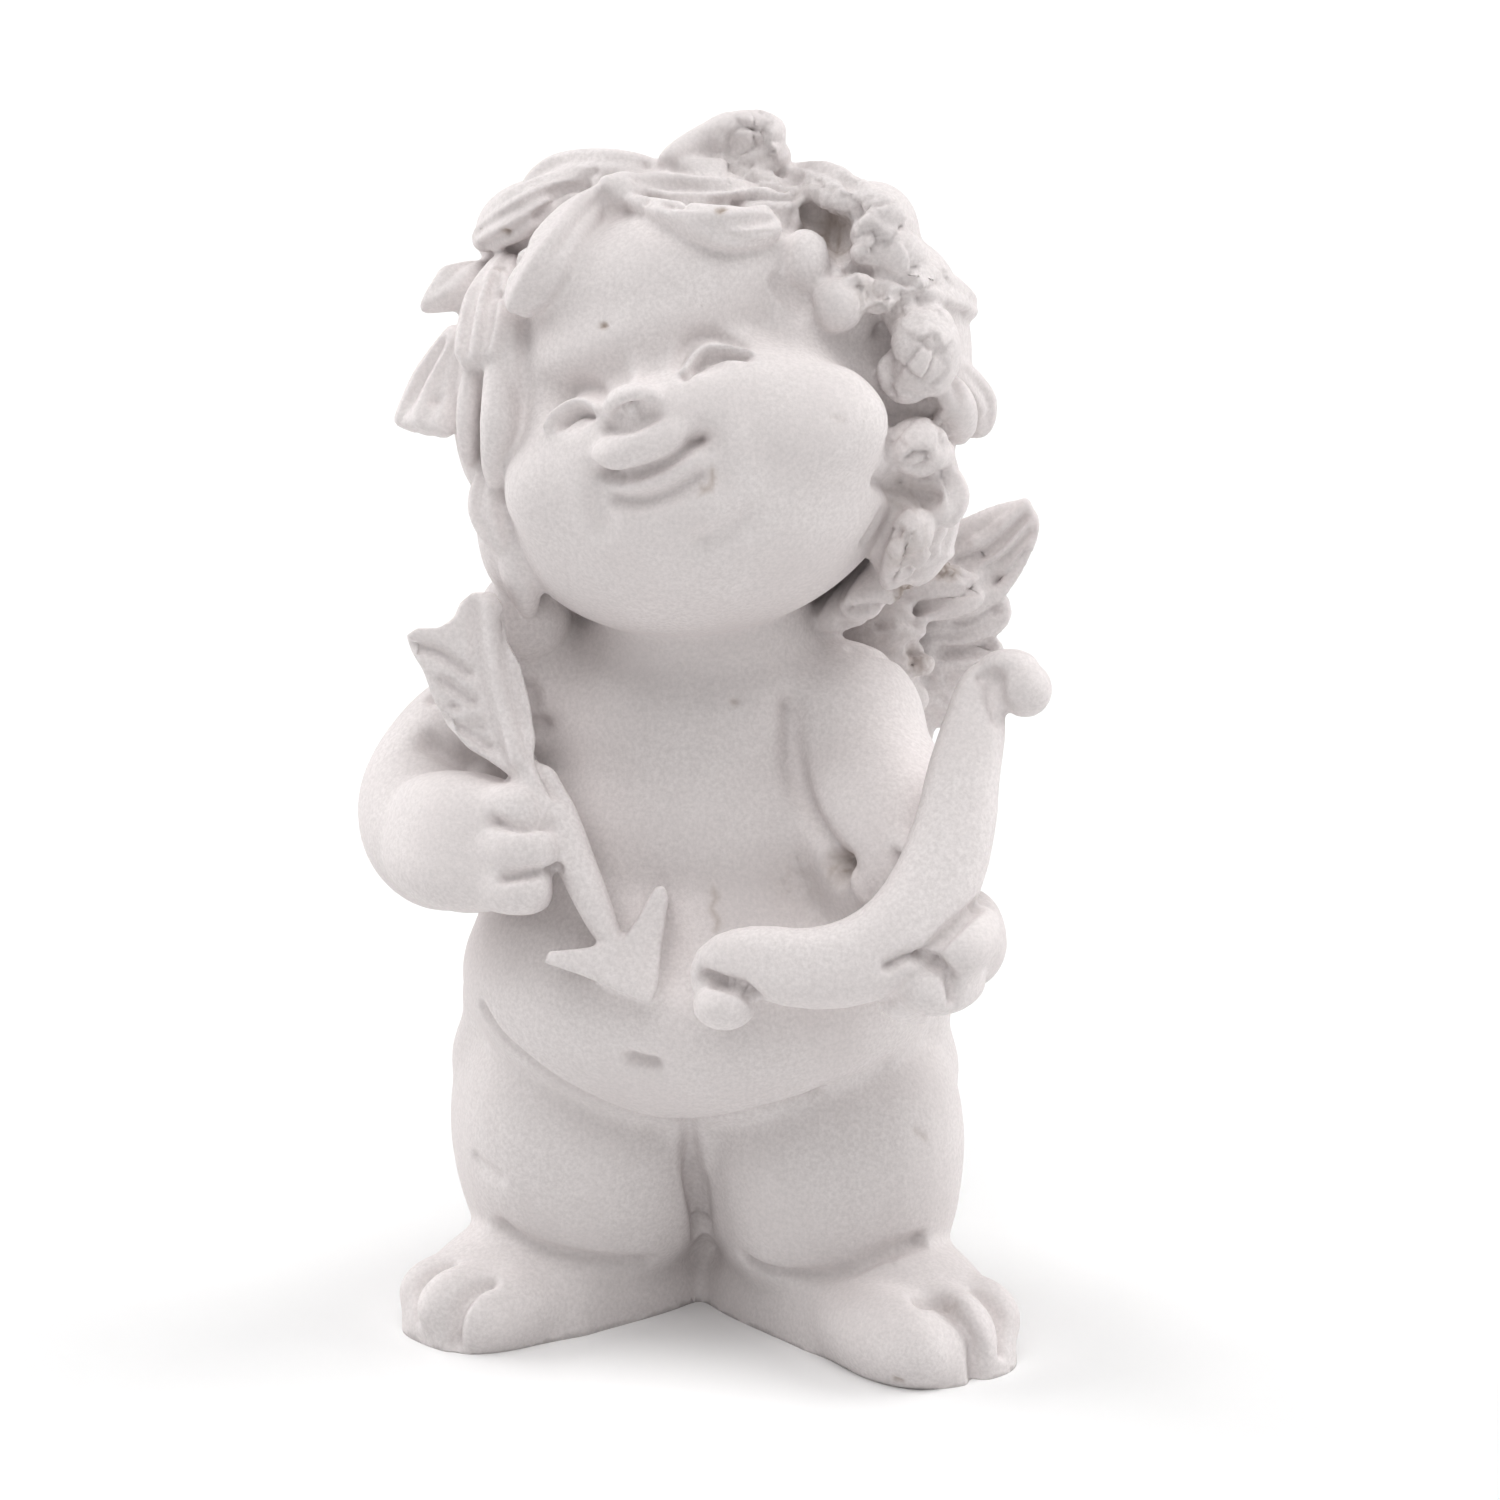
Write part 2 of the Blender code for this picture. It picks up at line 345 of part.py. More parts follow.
# Right wing: feathers as points along each with half-widths; the coverts lie in front of them
WING_ROOT = ((13.5, 9.5, 59.5), (5.0, 4.0, 8.0))
FEATHERS = {
    "top feather": (((15.5, 11.5, 66.0), (23.0, 13.4, 69.4), (30.0, 15.0, 75.6)), (3.6, 4.9, 3.4)),
    "second feather": (((15.5, 11.2, 65.0), (22.0, 13.0, 65.2), (28.0, 14.0, 66.0)), (3.4, 3.9, 3.0)),
    "third feather": (((15.5, 10.8, 62.8), (22.0, 12.6, 61.6), (27.4, 13.6, 61.2)), (3.2, 3.7, 2.8)),
    "fourth feather": (((15.5, 10.4, 61.0), (20.0, 12.0, 58.0), (24.0, 13.0, 55.0)), (3.2, 3.4, 2.6)),
    "fifth feather": (((14.5, 10.0, 60.6), (17.4, 11.0, 56.8), (19.4, 11.6, 51.6)), (3.0, 3.2, 2.5)),
    "upper covert": (((15.6, 8.6, 67.4), (20.6, 9.8, 68.4), (25.6, 11.4, 68.0)), (2.4, 3.0, 2.5)),
    "middle covert": (((12.6, 6.8, 64.8), (16.8, 7.4, 65.8), (20.6, 8.8, 65.8)), (2.0, 2.5, 2.1)),
    "lower covert": (((12.6, 6.8, 63.2), (17.0, 7.6, 62.4), (21.0, 9.0, 61.4)), (2.0, 2.4, 2.0)),
    "last covert": (((13.4, 6.8, 61.4), (17.0, 8.2, 59.6), (20.0, 9.6, 56.8)), (2.0, 2.4, 2.0)),
}
FEATHER_HALF_THICKNESS = 1.6
FEATHER_RIDGES = 4
# Left wing, small and plain, out of sight from the front: root, lean, then rise and length
LEFT_WING_ROOT = Vector((-10.5, 10.0, 59.0))
LEFT_WING_LEAN = 62.0
LEFT_WING_ROOT_SIZES = (4.5, 4.5, 7.5)
LEFT_WING_TOP = 5.0
LEFT_WING_STEP = 2.6
LEFT_WING_FEATHERS = ((44, 15.0), (28, 12.5), (10, 11.5), (-6, 10.5), (-24, 10.0), (-44, 9.0))
FEATHER_HALF_WIDTH = 3.9
COVERT_SHARE = 0.62

# Carved creases: places across and up from the ground point as the eye sees them, then depth and
# half-width
CREASES = {
    "belly": (((-22.2, 27.4), (-20.0, 24.2), (-18.0, 22.5), (-15.0, 20.3), (-12.0, 18.7), (-8.0, 17.1),
               (-4.0, 16.3),
               (0.0, 16.4), (4.0, 17.1), (8.0, 18.1), (11.0, 19.0)), 0.9, 0.6),
    "belly right end": (((11.0, 19.0), (14.0, 20.2), (17.0, 21.6)), 0.4, 1.2),
    "legs": (((-2.7, 16.4), (-2.3, 12.0), (-1.6, 8.0), (-1.2, 5.0)), 1.0, 1.0),
    "left knee": (((-22.8, 12.5), (-21.6, 11.4), (-20.6, 10.7)), 0.5, 0.7),
    "left ankle": (((-20.4, 6.0), (-18.0, 4.3), (-16.0, 3.5), (-13.0, 2.8), (-9.0, 2.4), (-6.0, 2.4)), 1.0,
                   0.8),
    "right ankle": (((3.4, 2.8), (5.0, 1.8), (8.0, 1.1), (11.0, 1.1), (14.0, 1.8), (16.0, 2.8), (18.0, 3.6),
                     (20.6, 4.6)), 1.1, 0.7),
    "navel": (((-7.7, 22.3), (-6.6, 22.0), (-5.5, 21.8)), 1.3, 0.8),
    "left armpit": (((-17.6, 58.6), (-16.6, 55.0), (-16.0, 52.0), (-15.0, 49.0)), 1.6, 1.1),
    "right armpit": (((8.0, 57.0), (8.1, 53.0), (8.5, 49.5), (9.4, 46.5), (10.8, 44.0), (12.6, 41.8)), 1.3,
                     1.1),
    "right armpit deep": (((9.0, 47.4), (10.2, 44.9), (11.8, 42.6), (12.8, 41.0)), 1.4, 0.8),
    "armpit hole": (((12.0, 41.6), (13.0, 41.2)), 2.4, 0.9),
    "armpit hole low": (((12.4, 40.0), (13.0, 39.9)), 1.8, 0.6),
    "armpit web": (((13.9, 40.6), (14.4, 39.2), (15.3, 37.8)), -0.6, 0.4),
    "left elbow": (((-27.4, 53.6), (-25.2, 52.4), (-23.4, 51.6)), 1.6, 1.2),
    "finger crease 1": (((-21.2, 45.7), (-18.6, 45.1), (-15.9, 45.2)), 1.0, 0.5),
    "finger crease 2": (((-20.2, 40.1), (-17.5, 40.5), (-15.0, 41.1)), 1.0, 0.45),
}


def smooth_path(points, samples):
    """Points of a smooth curve through the given points, evenly counted."""
    fixed = [np.array(p, float) for p in points]
    ends = [2 * fixed[0] - fixed[1]] + fixed + [2 * fixed[-1] - fixed[-2]]
    spans = len(fixed) - 1
    curve = []
    for share in np.linspace(0.0, 1.0, samples):
        place = min(share * spans, spans - 1e-9)
        i = int(place)
        t = place - i
        a, b, c, d = ends[i:i + 4]
        curve.append(0.5 * (2 * b + (c - a) * t + (2 * a - 5 * b + 4 * c - d) * t ** 2
                            + (3 * b - a - 3 * c + d) * t ** 3))
    return np.array(curve)


def new_object(name, bm):
    """A mesh object made from a bmesh."""
    mesh = bpy.data.meshes.new(name)
    bm.to_mesh(mesh)
    bm.free()
    made = bpy.data.objects.new(name, mesh)
    bpy.context.scene.collection.objects.link(made)
    return made


def ball(name, centre, half_sizes, pose=Matrix.Identity(4)):
    """An ellipsoid, turned by a pose about its centre."""
    bm = bmesh.new()
    bmesh.ops.create_uvsphere(bm, u_segments=48, v_segments=32, radius=1.0)
    bm.transform(Matrix.Translation(Vector(centre)) @ pose @ Matrix.Diagonal((*half_sizes, 1.0)))
    return new_object(name, bm)


def limb(name, points, half_widths, half_thicknesses=None, outward=None, blunt=2.0, square=2.0, strands=0):
    """A rounded limb swept along a smooth path: a sphere whose poles become the limb's ends."""
    half_thicknesses = half_thicknesses or half_widths
    samples = 65
    path = smooth_path(points, samples)
    tangents = np.gradient(path, axis=0)
    tangents /= np.linalg.norm(tangents, axis=1)[:, None]
    bm = bmesh.new()
    bmesh.ops.create_uvsphere(bm, u_segments=48 if strands else 24, v_segments=40, radius=1.0)
    wide_stations = np.linspace(0.0, 1.0, len(half_widths))
    thick_stations = np.linspace(0.0, 1.0, len(half_thicknesses))
    for vert in bm.verts:
        x, y, z = vert.co
        share = 0.5 * (z + 1.0)
        k = share * (samples - 1)
        i = min(int(k), samples - 2)
        centre = path[i] + (path[i + 1] - path[i]) * (k - i)
        tangent = tangents[i]
        away = np.array(outward(centre) if outward else (0.3, -0.9, 0.3), float)
        normal = away - tangent * np.dot(away, tangent)
        normal /= np.linalg.norm(normal)
        side = np.cross(tangent, normal)
        ring = math.hypot(x, y)
        swell = ring ** (2.0 / blunt) if ring > 0 else 0.0
        wide = np.interp(share, wide_stations, half_widths) * swell
        thick = np.interp(share, thick_stations, half_thicknesses) * swell
        if ring > 0:
            across = math.copysign(abs(x / ring) ** (2.0 / square), x)
            out = math.copysign(abs(y / ring) ** (2.0 / square), y)
            if strands > 1:
                rib = abs(math.sin(0.5 * math.pi * strands * (across + 1.0)))
                out *= 1.0 - STRAND_GROOVE * (1.0 - rib ** 0.7)
            vert.co = Vector(centre + side * wide * across + normal * thick * out)
        else:
            vert.co = Vector(centre)
    bmesh.ops.recalc_face_normals(bm, faces=bm.faces)
    return new_object(name, bm)


def plate(name, outline, towards, thickness):
    """An outline as the eye sees it, thickened along the lines of sight."""
    bm = bmesh.new()
    low = [bm.verts.new((a, u, towards - 0.5 * thickness)) for a, u in outline]
    face = bm.faces.new(low)
    raised = bmesh.ops.extrude_face_region(bm, geom=[face])["geom"]
    verts = [part for part in raised if isinstance(part, bmesh.types.BMVert)]
    bmesh.ops.translate(bm, verts=verts, vec=(0.0, 0.0, thickness))
    for vert in bm.verts:
        vert.co = from_ground(*vert.co)
    bmesh.ops.recalc_face_normals(bm, faces=bm.faces)
    return new_object(name, bm)


def evaluated(made):
    """Replace an object's mesh with the result of its modifiers."""
    graph = bpy.context.evaluated_depsgraph_get()
    mesh = bpy.data.meshes.new_from_object(made.evaluated_get(graph))
    made.modifiers.clear()
    made.data = mesh
    return made


def fuse(name, pieces, softening, grid):
    """Fuse closed pieces into one skin on a grid, then soften it by the given length."""
    bm = bmesh.new()
    for piece in pieces:
        bm.from_mesh(piece.data)
        bpy.data.objects.remove(piece)
    made = new_object(name, bm)
    remesh = made.modifiers.new("Fuse", "REMESH")
    remesh.mode = "VOXEL"
    remesh.voxel_size = grid
    rounds = round(4.0 * (softening / grid) ** 2)
    if rounds:
        soften = made.modifiers.new("Soften", "SMOOTH")
        soften.factor = 0.5
        soften.iterations = rounds
    return evaluated(made)


def head_pose():
    """Where the head's own frame stands: centre, then turn, nod and tilt."""
    turn = Matrix.Rotation(math.radians(HEAD_TURN), 4, "Z")
    nod = Matrix.Rotation(math.radians(HEAD_NOD), 4, "X")
    tilt = Matrix.Rotation(math.radians(HEAD_TILT), 4, "Y")
    return Matrix.Translation(HEAD_CENTRE) @ turn @ nod @ tilt


def on_head(bearing, height, distance):
    """A point in the head's own frame from its bearing, height and distance."""
    b, h = math.radians(bearing), math.radians(height)
    return Vector((math.cos(h) * math.sin(b), -math.cos(h) * math.cos(b), math.sin(h))) * distance


def seen(across, up, towards, middle=HEAD_CENTRE):
    """A point on the line of sight through a place across and up from the head's centre."""
    place = middle + ACROSS * across + UPWARDS * up
    return place + (EYE - place).normalized() * towards


def from_ground(across, up, towards):
    """A point on the line of sight through a place across and up from the ground point."""
    return seen(across, up, towards, GROUND)


def draped(tree, across, up, rise):
    """A place that lies on a skin, or beside it, as the eye sees it, raised towards the eye."""
    start = seen(across, up, NEAR_SIDE)
    place = tree.ray_cast(start, (start - EYE).normalized())[0]
    if place is None:
        near = tree.find_nearest(seen(across, up, 0.0))[0]
        return seen(across, up, (near - HEAD_CENTRE).dot(TOWARDS) + rise)
    return place + (EYE - place).normalized() * rise


def sight_turn(roll):
    """The frame of someone looking from the front, rolled clockwise by an angle in degrees."""
    axes = Matrix((ACROSS, UPWARDS, TOWARDS)).transposed().to_4x4()
    return axes @ Matrix.Rotation(math.radians(roll), 4, "Z")


def skin_of(made):
    """A tree for finding places on an object's skin."""
    return BVHTree.FromObject(made, bpy.context.evaluated_depsgraph_get())


def body():
    """Torso, legs and arms softened into one another, then the feet, then the creases."""
    pieces = [ball(name, *numbers) for name, numbers in BODY_BALLS.items()]
    for name, (points, widths, thick, blunt, square) in LIMBS.items():
        pieces.append(limb(name, points, widths, thick, blunt=blunt, square=square))
    core = fuse("body core", pieces, BODY_SOFTENING, FORM_GRID)
    legs = [limb(name, points, widths, thick, blunt=blunt, square=square)
            for name, (points, widths, thick, blunt, square) in LEGS.items()]
    return fuse("body", [core, ball("belly", *BELLY)] + legs + feet(), FOOT_SOFTENING, FORM_GRID)


def feet():
    """Feet with their toes; the soles are cut flat with the whole casting later."""
    pieces = [limb(name, points, widths, thick, outward=lambda p: (0, 0, 1), blunt=4.0,
                   square=FOOT_SQUARENESS)
              for name, (points, widths, thick) in FEET.items()]
    for name, (points, size) in TOES.items():
        pieces.append(limb(name, points, (size, size, size * 0.9), (size, size * 1.05, size * 0.9),
                           outward=lambda p: (0, 0, 1), blunt=2.6))
    return pieces


def head():
    """Skull and face with the nose, lips, chin and cheeks, in place."""
    pieces = [ball(name, *numbers) for name, numbers in HEAD_BALLS.items()]
    pose = head_pose()
    for piece in pieces:
        piece.data.transform(pose)
    core = fuse("head core", pieces, HEAD_SOFTENING, FORM_GRID)
    for parts, softening, grid in ((CHEEKS, CHEEK_SOFTENING, FORM_GRID),
                                   (FEATURES, FACE_SOFTENING, GRID)):
        features = [ball(name, seen(*place), half_sizes, sight_turn(roll))
                    for name, (place, half_sizes, roll) in parts.items()]
        core = fuse("head", [core] + features, softening, grid)
    return core


def lock(name, tree, stations, half_widths, thickness, blunt, strands):
    """One lock of hair, its flat side turned half away from the head and half to the front."""
    thick = (thickness * 0.8, thickness * 1.15, thickness * 1.1)

    def outward(point):
        return (Vector(point) - HEAD_CENTRE).normalized().lerp(TOWARDS, 0.6)

    return limb(name, [draped(tree, *station) for station in stations], half_widths, thick, outward=outward,
                blunt=blunt, strands=strands)


def hair(skull):
    """Cap and fillings, then the named locks and knobs draped over them, and the rows at the back."""
    pose = head_pose()
    cap = ball("hair cap", *HAIR_CAP)
    cap.data.transform(pose)
    masses = [ball(name, seen(*place), half_sizes, sight_turn(0.0))
              for name, (place, half_sizes) in HAIR_MASSES.items()]
    under = fuse("hair masses", [cap] + masses, HAIR_SOFTENING, FORM_GRID)
    bm = bmesh.new()
    bm.from_mesh(under.data)
    bm.from_mesh(skull.data)
    tree = BVHTree.FromBMesh(bm)
    bm.free()
    pieces = [under]
    pieces += [lock(name, tree, *numbers) for name, numbers in LOCKS.items()]
    for name, (place, half_sizes) in KNOBS.items():
        pieces.append(ball(name, draped(tree, *place), half_sizes, sight_turn(0.0)))
    for count, (top, bottom, first, last, distance) in zip(BACK_COUNTS, BACK_ROWS):
        for i in range(count):
            bearing = first + (last - first) * (i + 0.5) / count
            lean = 6.0 * math.sin(2.3 * i + top)
            middle = 0.5 * (top + bottom)
            stations = ((bearing - lean, top, distance), (bearing + lean, middle, distance + 1.2),
                        (bearing, bottom, distance + 0.6))
            points = [pose @ on_head(*station) for station in stations]
            thick = (BACK_LOCK_THICKNESS,) * 3
            pieces.append(limb("back lock", points, BACK_LOCK, thick, blunt=2.4, strands=2,
                               outward=lambda p: Vector(p) - HEAD_CENTRE))
    return pieces


def sight_limb(name, points, widths, thick, blunt=2.0, square=2.0):
    """A limb whose path is given as the eye sees it, with its thickness towards the eye."""
    return limb(name, [from_ground(*point) for point in points], widths, thick, outward=lambda p: TOWARDS,
                blunt=blunt, square=square)


def hands():
    """Both fists: palms, fingers and the thumb."""
    pieces = [sight_limb(name, points, wide, thick, blunt=3.0, square=square)
              for name, (points, wide, thick, square) in PALMS.items()]
    for name, (points, wide, thick) in FINGERS.items():
        pieces.append(sight_limb(name, points, (wide,) * 3, (thick,) * 3, FINGER_BLUNTNESS,
                                 FINGER_SQUARENESS))
    return fuse("hands", pieces, HAND_SOFTENING, GRID)


def arrow():
    """Shaft, flat barbed head and the feathered tail."""
    path, widths = SHAFT
    return [sight_limb("shaft", path, widths, widths),
            plate("arrow head", ARROW_HEAD, ARROW_TOWARDS, HEAD_THICKNESS),
            plate("vane", VANE, VANE_TOWARDS, VANE_THICKNESS)]


def bow():
    """The recurved bow, a thick round band with curled ends."""
    pieces = [sight_limb("bow", BOW_PATH, BOW_HALF_WIDTHS, BOW_HALF_WIDTHS, blunt=2.6, square=2.8)]
    for name, (place, half_sizes) in BOW_BALLS.items():
        pieces.append(ball(name, from_ground(*place), half_sizes, sight_turn(0.0)))
    return pieces


def wings():
    """Two small wings of layered feathers on the back."""
    pieces = [ball("right wing root", *WING_ROOT)]
    thick = (FEATHER_HALF_THICKNESS,) * 3
    for name, (points, widths) in FEATHERS.items():
        pieces.append(limb(name, points, widths, thick, outward=lambda p: TOWARDS, blunt=2.8,
                           strands=FEATHER_RIDGES))
    root, lean = LEFT_WING_ROOT, math.radians(LEFT_WING_LEAN)
    outward = Vector((-math.cos(lean), math.sin(lean), 0.0))
    facing = Vector((-math.sin(lean), -math.cos(lean), 0.0))
    pieces.append(ball("left wing root", root, LEFT_WING_ROOT_SIZES))
    for i, (rise, length) in enumerate(LEFT_WING_FEATHERS):
        angle = math.radians(rise)
        start = root + Vector((0.0, 0.0, LEFT_WING_TOP - LEFT_WING_STEP * i))
        way = outward * math.cos(angle) + Vector((0.0, 0.0, math.sin(angle)))
        bend = start + way * length * 0.55 - Vector((0.0, 0.0, 0.06 * length))
        tip = start + way * length + Vector((0.0, 0.0, 0.05 * length))
        widths = (FEATHER_HALF_WIDTH * 0.9, FEATHER_HALF_WIDTH, FEATHER_HALF_WIDTH * 0.8)
        pieces.append(limb(f"left feather {i}", (start, bend, tip), widths, thick,
                           outward=lambda p, f=facing: f, blunt=2.4, strands=FEATHER_RIDGES))
        short = start.lerp(tip, COVERT_SHARE) + facing * 1.6
        middle = start.lerp(bend, COVERT_SHARE) + facing * 1.8
        pieces.append(limb(f"left covert {i}", (start + facing, middle, short), widths, thick,
                           outward=lambda p, f=facing: f, blunt=2.4, strands=FEATHER_RIDGES))
    return pieces


def distances_to(points, path):
    """Distance of each point to a path given as a row of points."""
    best = np.full(len(points), np.inf)
    for a, b in zip(path[:-1], path[1:]):
        step = b - a
        share = np.clip((points - a) @ step / max(step @ step, 1e-12), 0.0, 1.0)
        gap = np.linalg.norm(points - a - share[:, None] * step, axis=1)
        best = np.minimum(best, gap)
    return best


class Skin:
    """The places and normals of a mesh while it is carved."""

    def __init__(self, made):
        self.mesh = made.data
        self.tree = skin_of(made)
        count = len(self.mesh.vertices)
        self.places = np.empty(count * 3)
        self.normals = np.empty(count * 3)
        self.mesh.vertices.foreach_get("co", self.places)
        self.mesh.vertices.foreach_get("normal", self.normals)
        self.places = self.places.reshape(-1, 3)
        self.normals = self.normals.reshape(-1, 3)
        self.shift = np.zeros(count)

    def near(self, path, reach):
        """Which points lie in the box round a path."""
        low, high = path.min(axis=0) - reach, path.max(axis=0) + reach
        return np.where(((self.places > low) & (self.places < high)).all(axis=1))[0]

    def carve(self, points, depth, half_width):
        """Press a soft groove into the skin along a path (or raise it with a negative depth)."""
        path = smooth_path(points, 25)
        some = self.near(path, 2.6 * half_width)
        gap = distances_to(self.places[some], path)
        self.shift[some] -= depth * np.exp(-(gap / half_width) ** 2)

    def hit(self, start, way):
        """The place where a line of sight meets the skin."""
        place = self.tree.ray_cast(start, way)[0]
        if place is None:
            place = self.tree.find_nearest(start)[0]
        return place

    def stroke(self, middle, places, depth, half_width):
        """Carve along places given as the eye sees them."""
        points = []
        for across, up in places:
            start = seen(across, up, NEAR_SIDE, middle)
            points.append(self.hit(start, (start - EYE).normalized()))
        self.carve(points, depth, half_width)

    def done(self):
        """Move the skin by everything carved so far."""
        self.places += self.normals * self.shift[:, None]
        self.mesh.vertices.foreach_set("co", self.places.ravel())
        self.mesh.update()


def carve_all(made):
    """Creases of the body, strokes of the face and hair, grooves of the vane and between the toes."""
    skin = Skin(made)
    for stroke in (*CREASES.values(), *VANE_GROOVES.values(), *BOW_GROOVES.values(),
                   *TOE_GROOVES.values()):
        skin.stroke(GROUND, *stroke)
    for stroke in (*FACE_STROKES.values(), *HAIR_STROKES.values()):
        skin.stroke(HEAD_CENTRE, *stroke)
    skin.done()


def thin_and_cut(made, triangles):
    """Thin the skin to its triangle budget and cut the soles flat on the ground."""
    count = sum(len(face.vertices) - 2 for face in made.data.polygons)
    if count > triangles:
        thin = made.modifiers.new("Thin", "DECIMATE")
        thin.ratio = triangles / count
        evaluated(made)
    bm = bmesh.new()
    bm.from_mesh(made.data)
    geometry = bm.verts[:] + bm.edges[:] + bm.faces[:]
    cut = bmesh.ops.bisect_plane(bm, geom=geometry, dist=1e-5, plane_co=(0, 0, 0), plane_no=(0, 0, 1),
                                 clear_inner=True)
    rim = [part for part in cut["geom_cut"] if isinstance(part, bmesh.types.BMEdge)]
    bmesh.ops.holes_fill(bm, edges=rim, sides=0)
    bmesh.ops.triangulate(bm, faces=bm.faces)
    bmesh.ops.recalc_face_normals(bm, faces=bm.faces)
    bm.to_mesh(made.data)
    bm.free()


def figure():
    """The whole cast figure as one closed skin, carved."""
    skull = head()
    pieces = hair(skull) + [body(), skull, hands()] + arrow() + bow() + wings()
    made = fuse("angel_figurine", pieces, CASTING_SOFTENING, GRID)
    carve_all(made)
    return made


def plaster():
    """The one material: matte white plaster."""
    material = bpy.data.materials.new("plaster")
    material.use_nodes = True
    shader = material.node_tree.nodes["Principled BSDF"]
    shader.inputs["Base Color"].default_value = PLASTER_COLOUR
    shader.inputs["Roughness"].default_value = PLASTER_ROUGHNESS
    shader.inputs["Metallic"].default_value = 0.0
    return material


def main():
    """Build the figurine in its own collection, at its real size."""
    for old in list(bpy.data.objects):
        bpy.data.objects.remove(old)
    made = figure()
    thin_and_cut(made, TRIANGLES)
    made.data.transform(Matrix.Scale(UNIT, 4))
    made.data.materials.append(plaster())
    collection = bpy.data.collections.new("Angel figurine")
    bpy.context.scene.collection.children.link(collection)
    bpy.context.scene.collection.objects.unlink(made)
    collection.objects.link(made)
    return made


main()
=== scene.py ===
"""Dress the plaster cherub: the carved casting in one piece, and a plain pale stage.

Places and sizes of the free form are shares of the figure's height (units), in a frame with its
origin on the ground under the legs, +Z up and the figure facing -Y. Left and right are those of
someone who looks at the figure from the front.
"""
import math

import bmesh
import bpy
import numpy as np
from bpy.props import FloatProperty, FloatVectorProperty, IntProperty, PointerProperty
from bpy.types import Operator, Panel, PropertyGroup
from mathutils import Matrix, Vector, noise
from mathutils.bvhtree import BVHTree


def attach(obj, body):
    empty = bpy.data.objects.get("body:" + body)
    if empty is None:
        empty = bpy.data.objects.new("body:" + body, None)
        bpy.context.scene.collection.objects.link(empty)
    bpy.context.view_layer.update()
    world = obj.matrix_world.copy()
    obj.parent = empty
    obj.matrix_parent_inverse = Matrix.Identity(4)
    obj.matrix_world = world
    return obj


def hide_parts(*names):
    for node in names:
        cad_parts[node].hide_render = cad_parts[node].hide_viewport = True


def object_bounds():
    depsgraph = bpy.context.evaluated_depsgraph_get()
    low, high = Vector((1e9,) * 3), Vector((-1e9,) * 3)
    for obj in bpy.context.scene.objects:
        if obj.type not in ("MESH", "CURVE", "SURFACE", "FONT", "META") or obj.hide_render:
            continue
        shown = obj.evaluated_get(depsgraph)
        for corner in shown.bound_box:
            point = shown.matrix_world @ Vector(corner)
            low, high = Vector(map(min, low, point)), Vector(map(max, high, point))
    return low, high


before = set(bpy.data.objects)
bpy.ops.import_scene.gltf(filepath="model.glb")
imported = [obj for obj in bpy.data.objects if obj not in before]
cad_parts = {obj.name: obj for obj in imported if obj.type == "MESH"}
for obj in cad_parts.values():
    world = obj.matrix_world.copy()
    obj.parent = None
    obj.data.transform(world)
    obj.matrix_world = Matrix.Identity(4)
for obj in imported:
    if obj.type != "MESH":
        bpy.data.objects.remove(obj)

bl_info = {
    "name": "Plaster cherub",
    "version": (1, 0, 0),
    "blender": (4, 5, 0),
    "location": "View3D > Sidebar > Cherub",
    "description": "Builds a cast plaster cherub with a bow and an arrow, and its stage",
    "category": "Add Mesh",
}

CAD_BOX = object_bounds()
NODE = "angel_figurine"
UNITS_TALL = 116.5

# The way the figure is looked at from the front: bearing and height of the eye, the point it looks
# at and how far it stands from that point
SIGHT_BEARING = math.radians(6.0)
SIGHT_HEIGHT = math.radians(16.0)
ACROSS = Vector((math.cos(SIGHT_BEARING), math.sin(SIGHT_BEARING), 0.0))
TOWARDS = Vector((math.sin(SIGHT_BEARING) * math.cos(SIGHT_HEIGHT),
                  -math.cos(SIGHT_BEARING) * math.cos(SIGHT_HEIGHT), math.sin(SIGHT_HEIGHT)))
UPWARDS = TOWARDS.cross(ACROSS)
SIGHT_MIDDLE = Vector((2.48, 14.85, 50.61))
SIGHT_DISTANCE = 600.0
EYE = SIGHT_MIDDLE + TOWARDS * SIGHT_DISTANCE
# Where a ray towards the skin starts, clear of the figure
FAR = 60.0
GROUND = Vector((0.0, 0.0, 0.0))

BALL_SEGMENTS = 48
BALL_RINGS = 32
# How limbs are swept: segments without and with strands, rings, stations along the path, the way that
# a limb faces unless it is told, and how sharp the ridges between strands are
LIMB_SEGMENTS = 24
STRANDED_SEGMENTS = 48
LIMB_RINGS = 40
LIMB_STATIONS = 65
LIMB_FACING = (0.3, -0.9, 0.3)
RIDGE_SHARPNESS = 0.7
# Rounds of smoothing for a softening as wide as one cell of the grid
SMOOTHING_ROUNDS = 4.0

# Head: centre, and its pose as turn, nod and tilt in degrees
HEAD_CENTRE = Vector((-0.6, -3.0, 86.8))
HEAD_TURN = -13.0
HEAD_NOD = -25.0
HEAD_TILT = -19.0

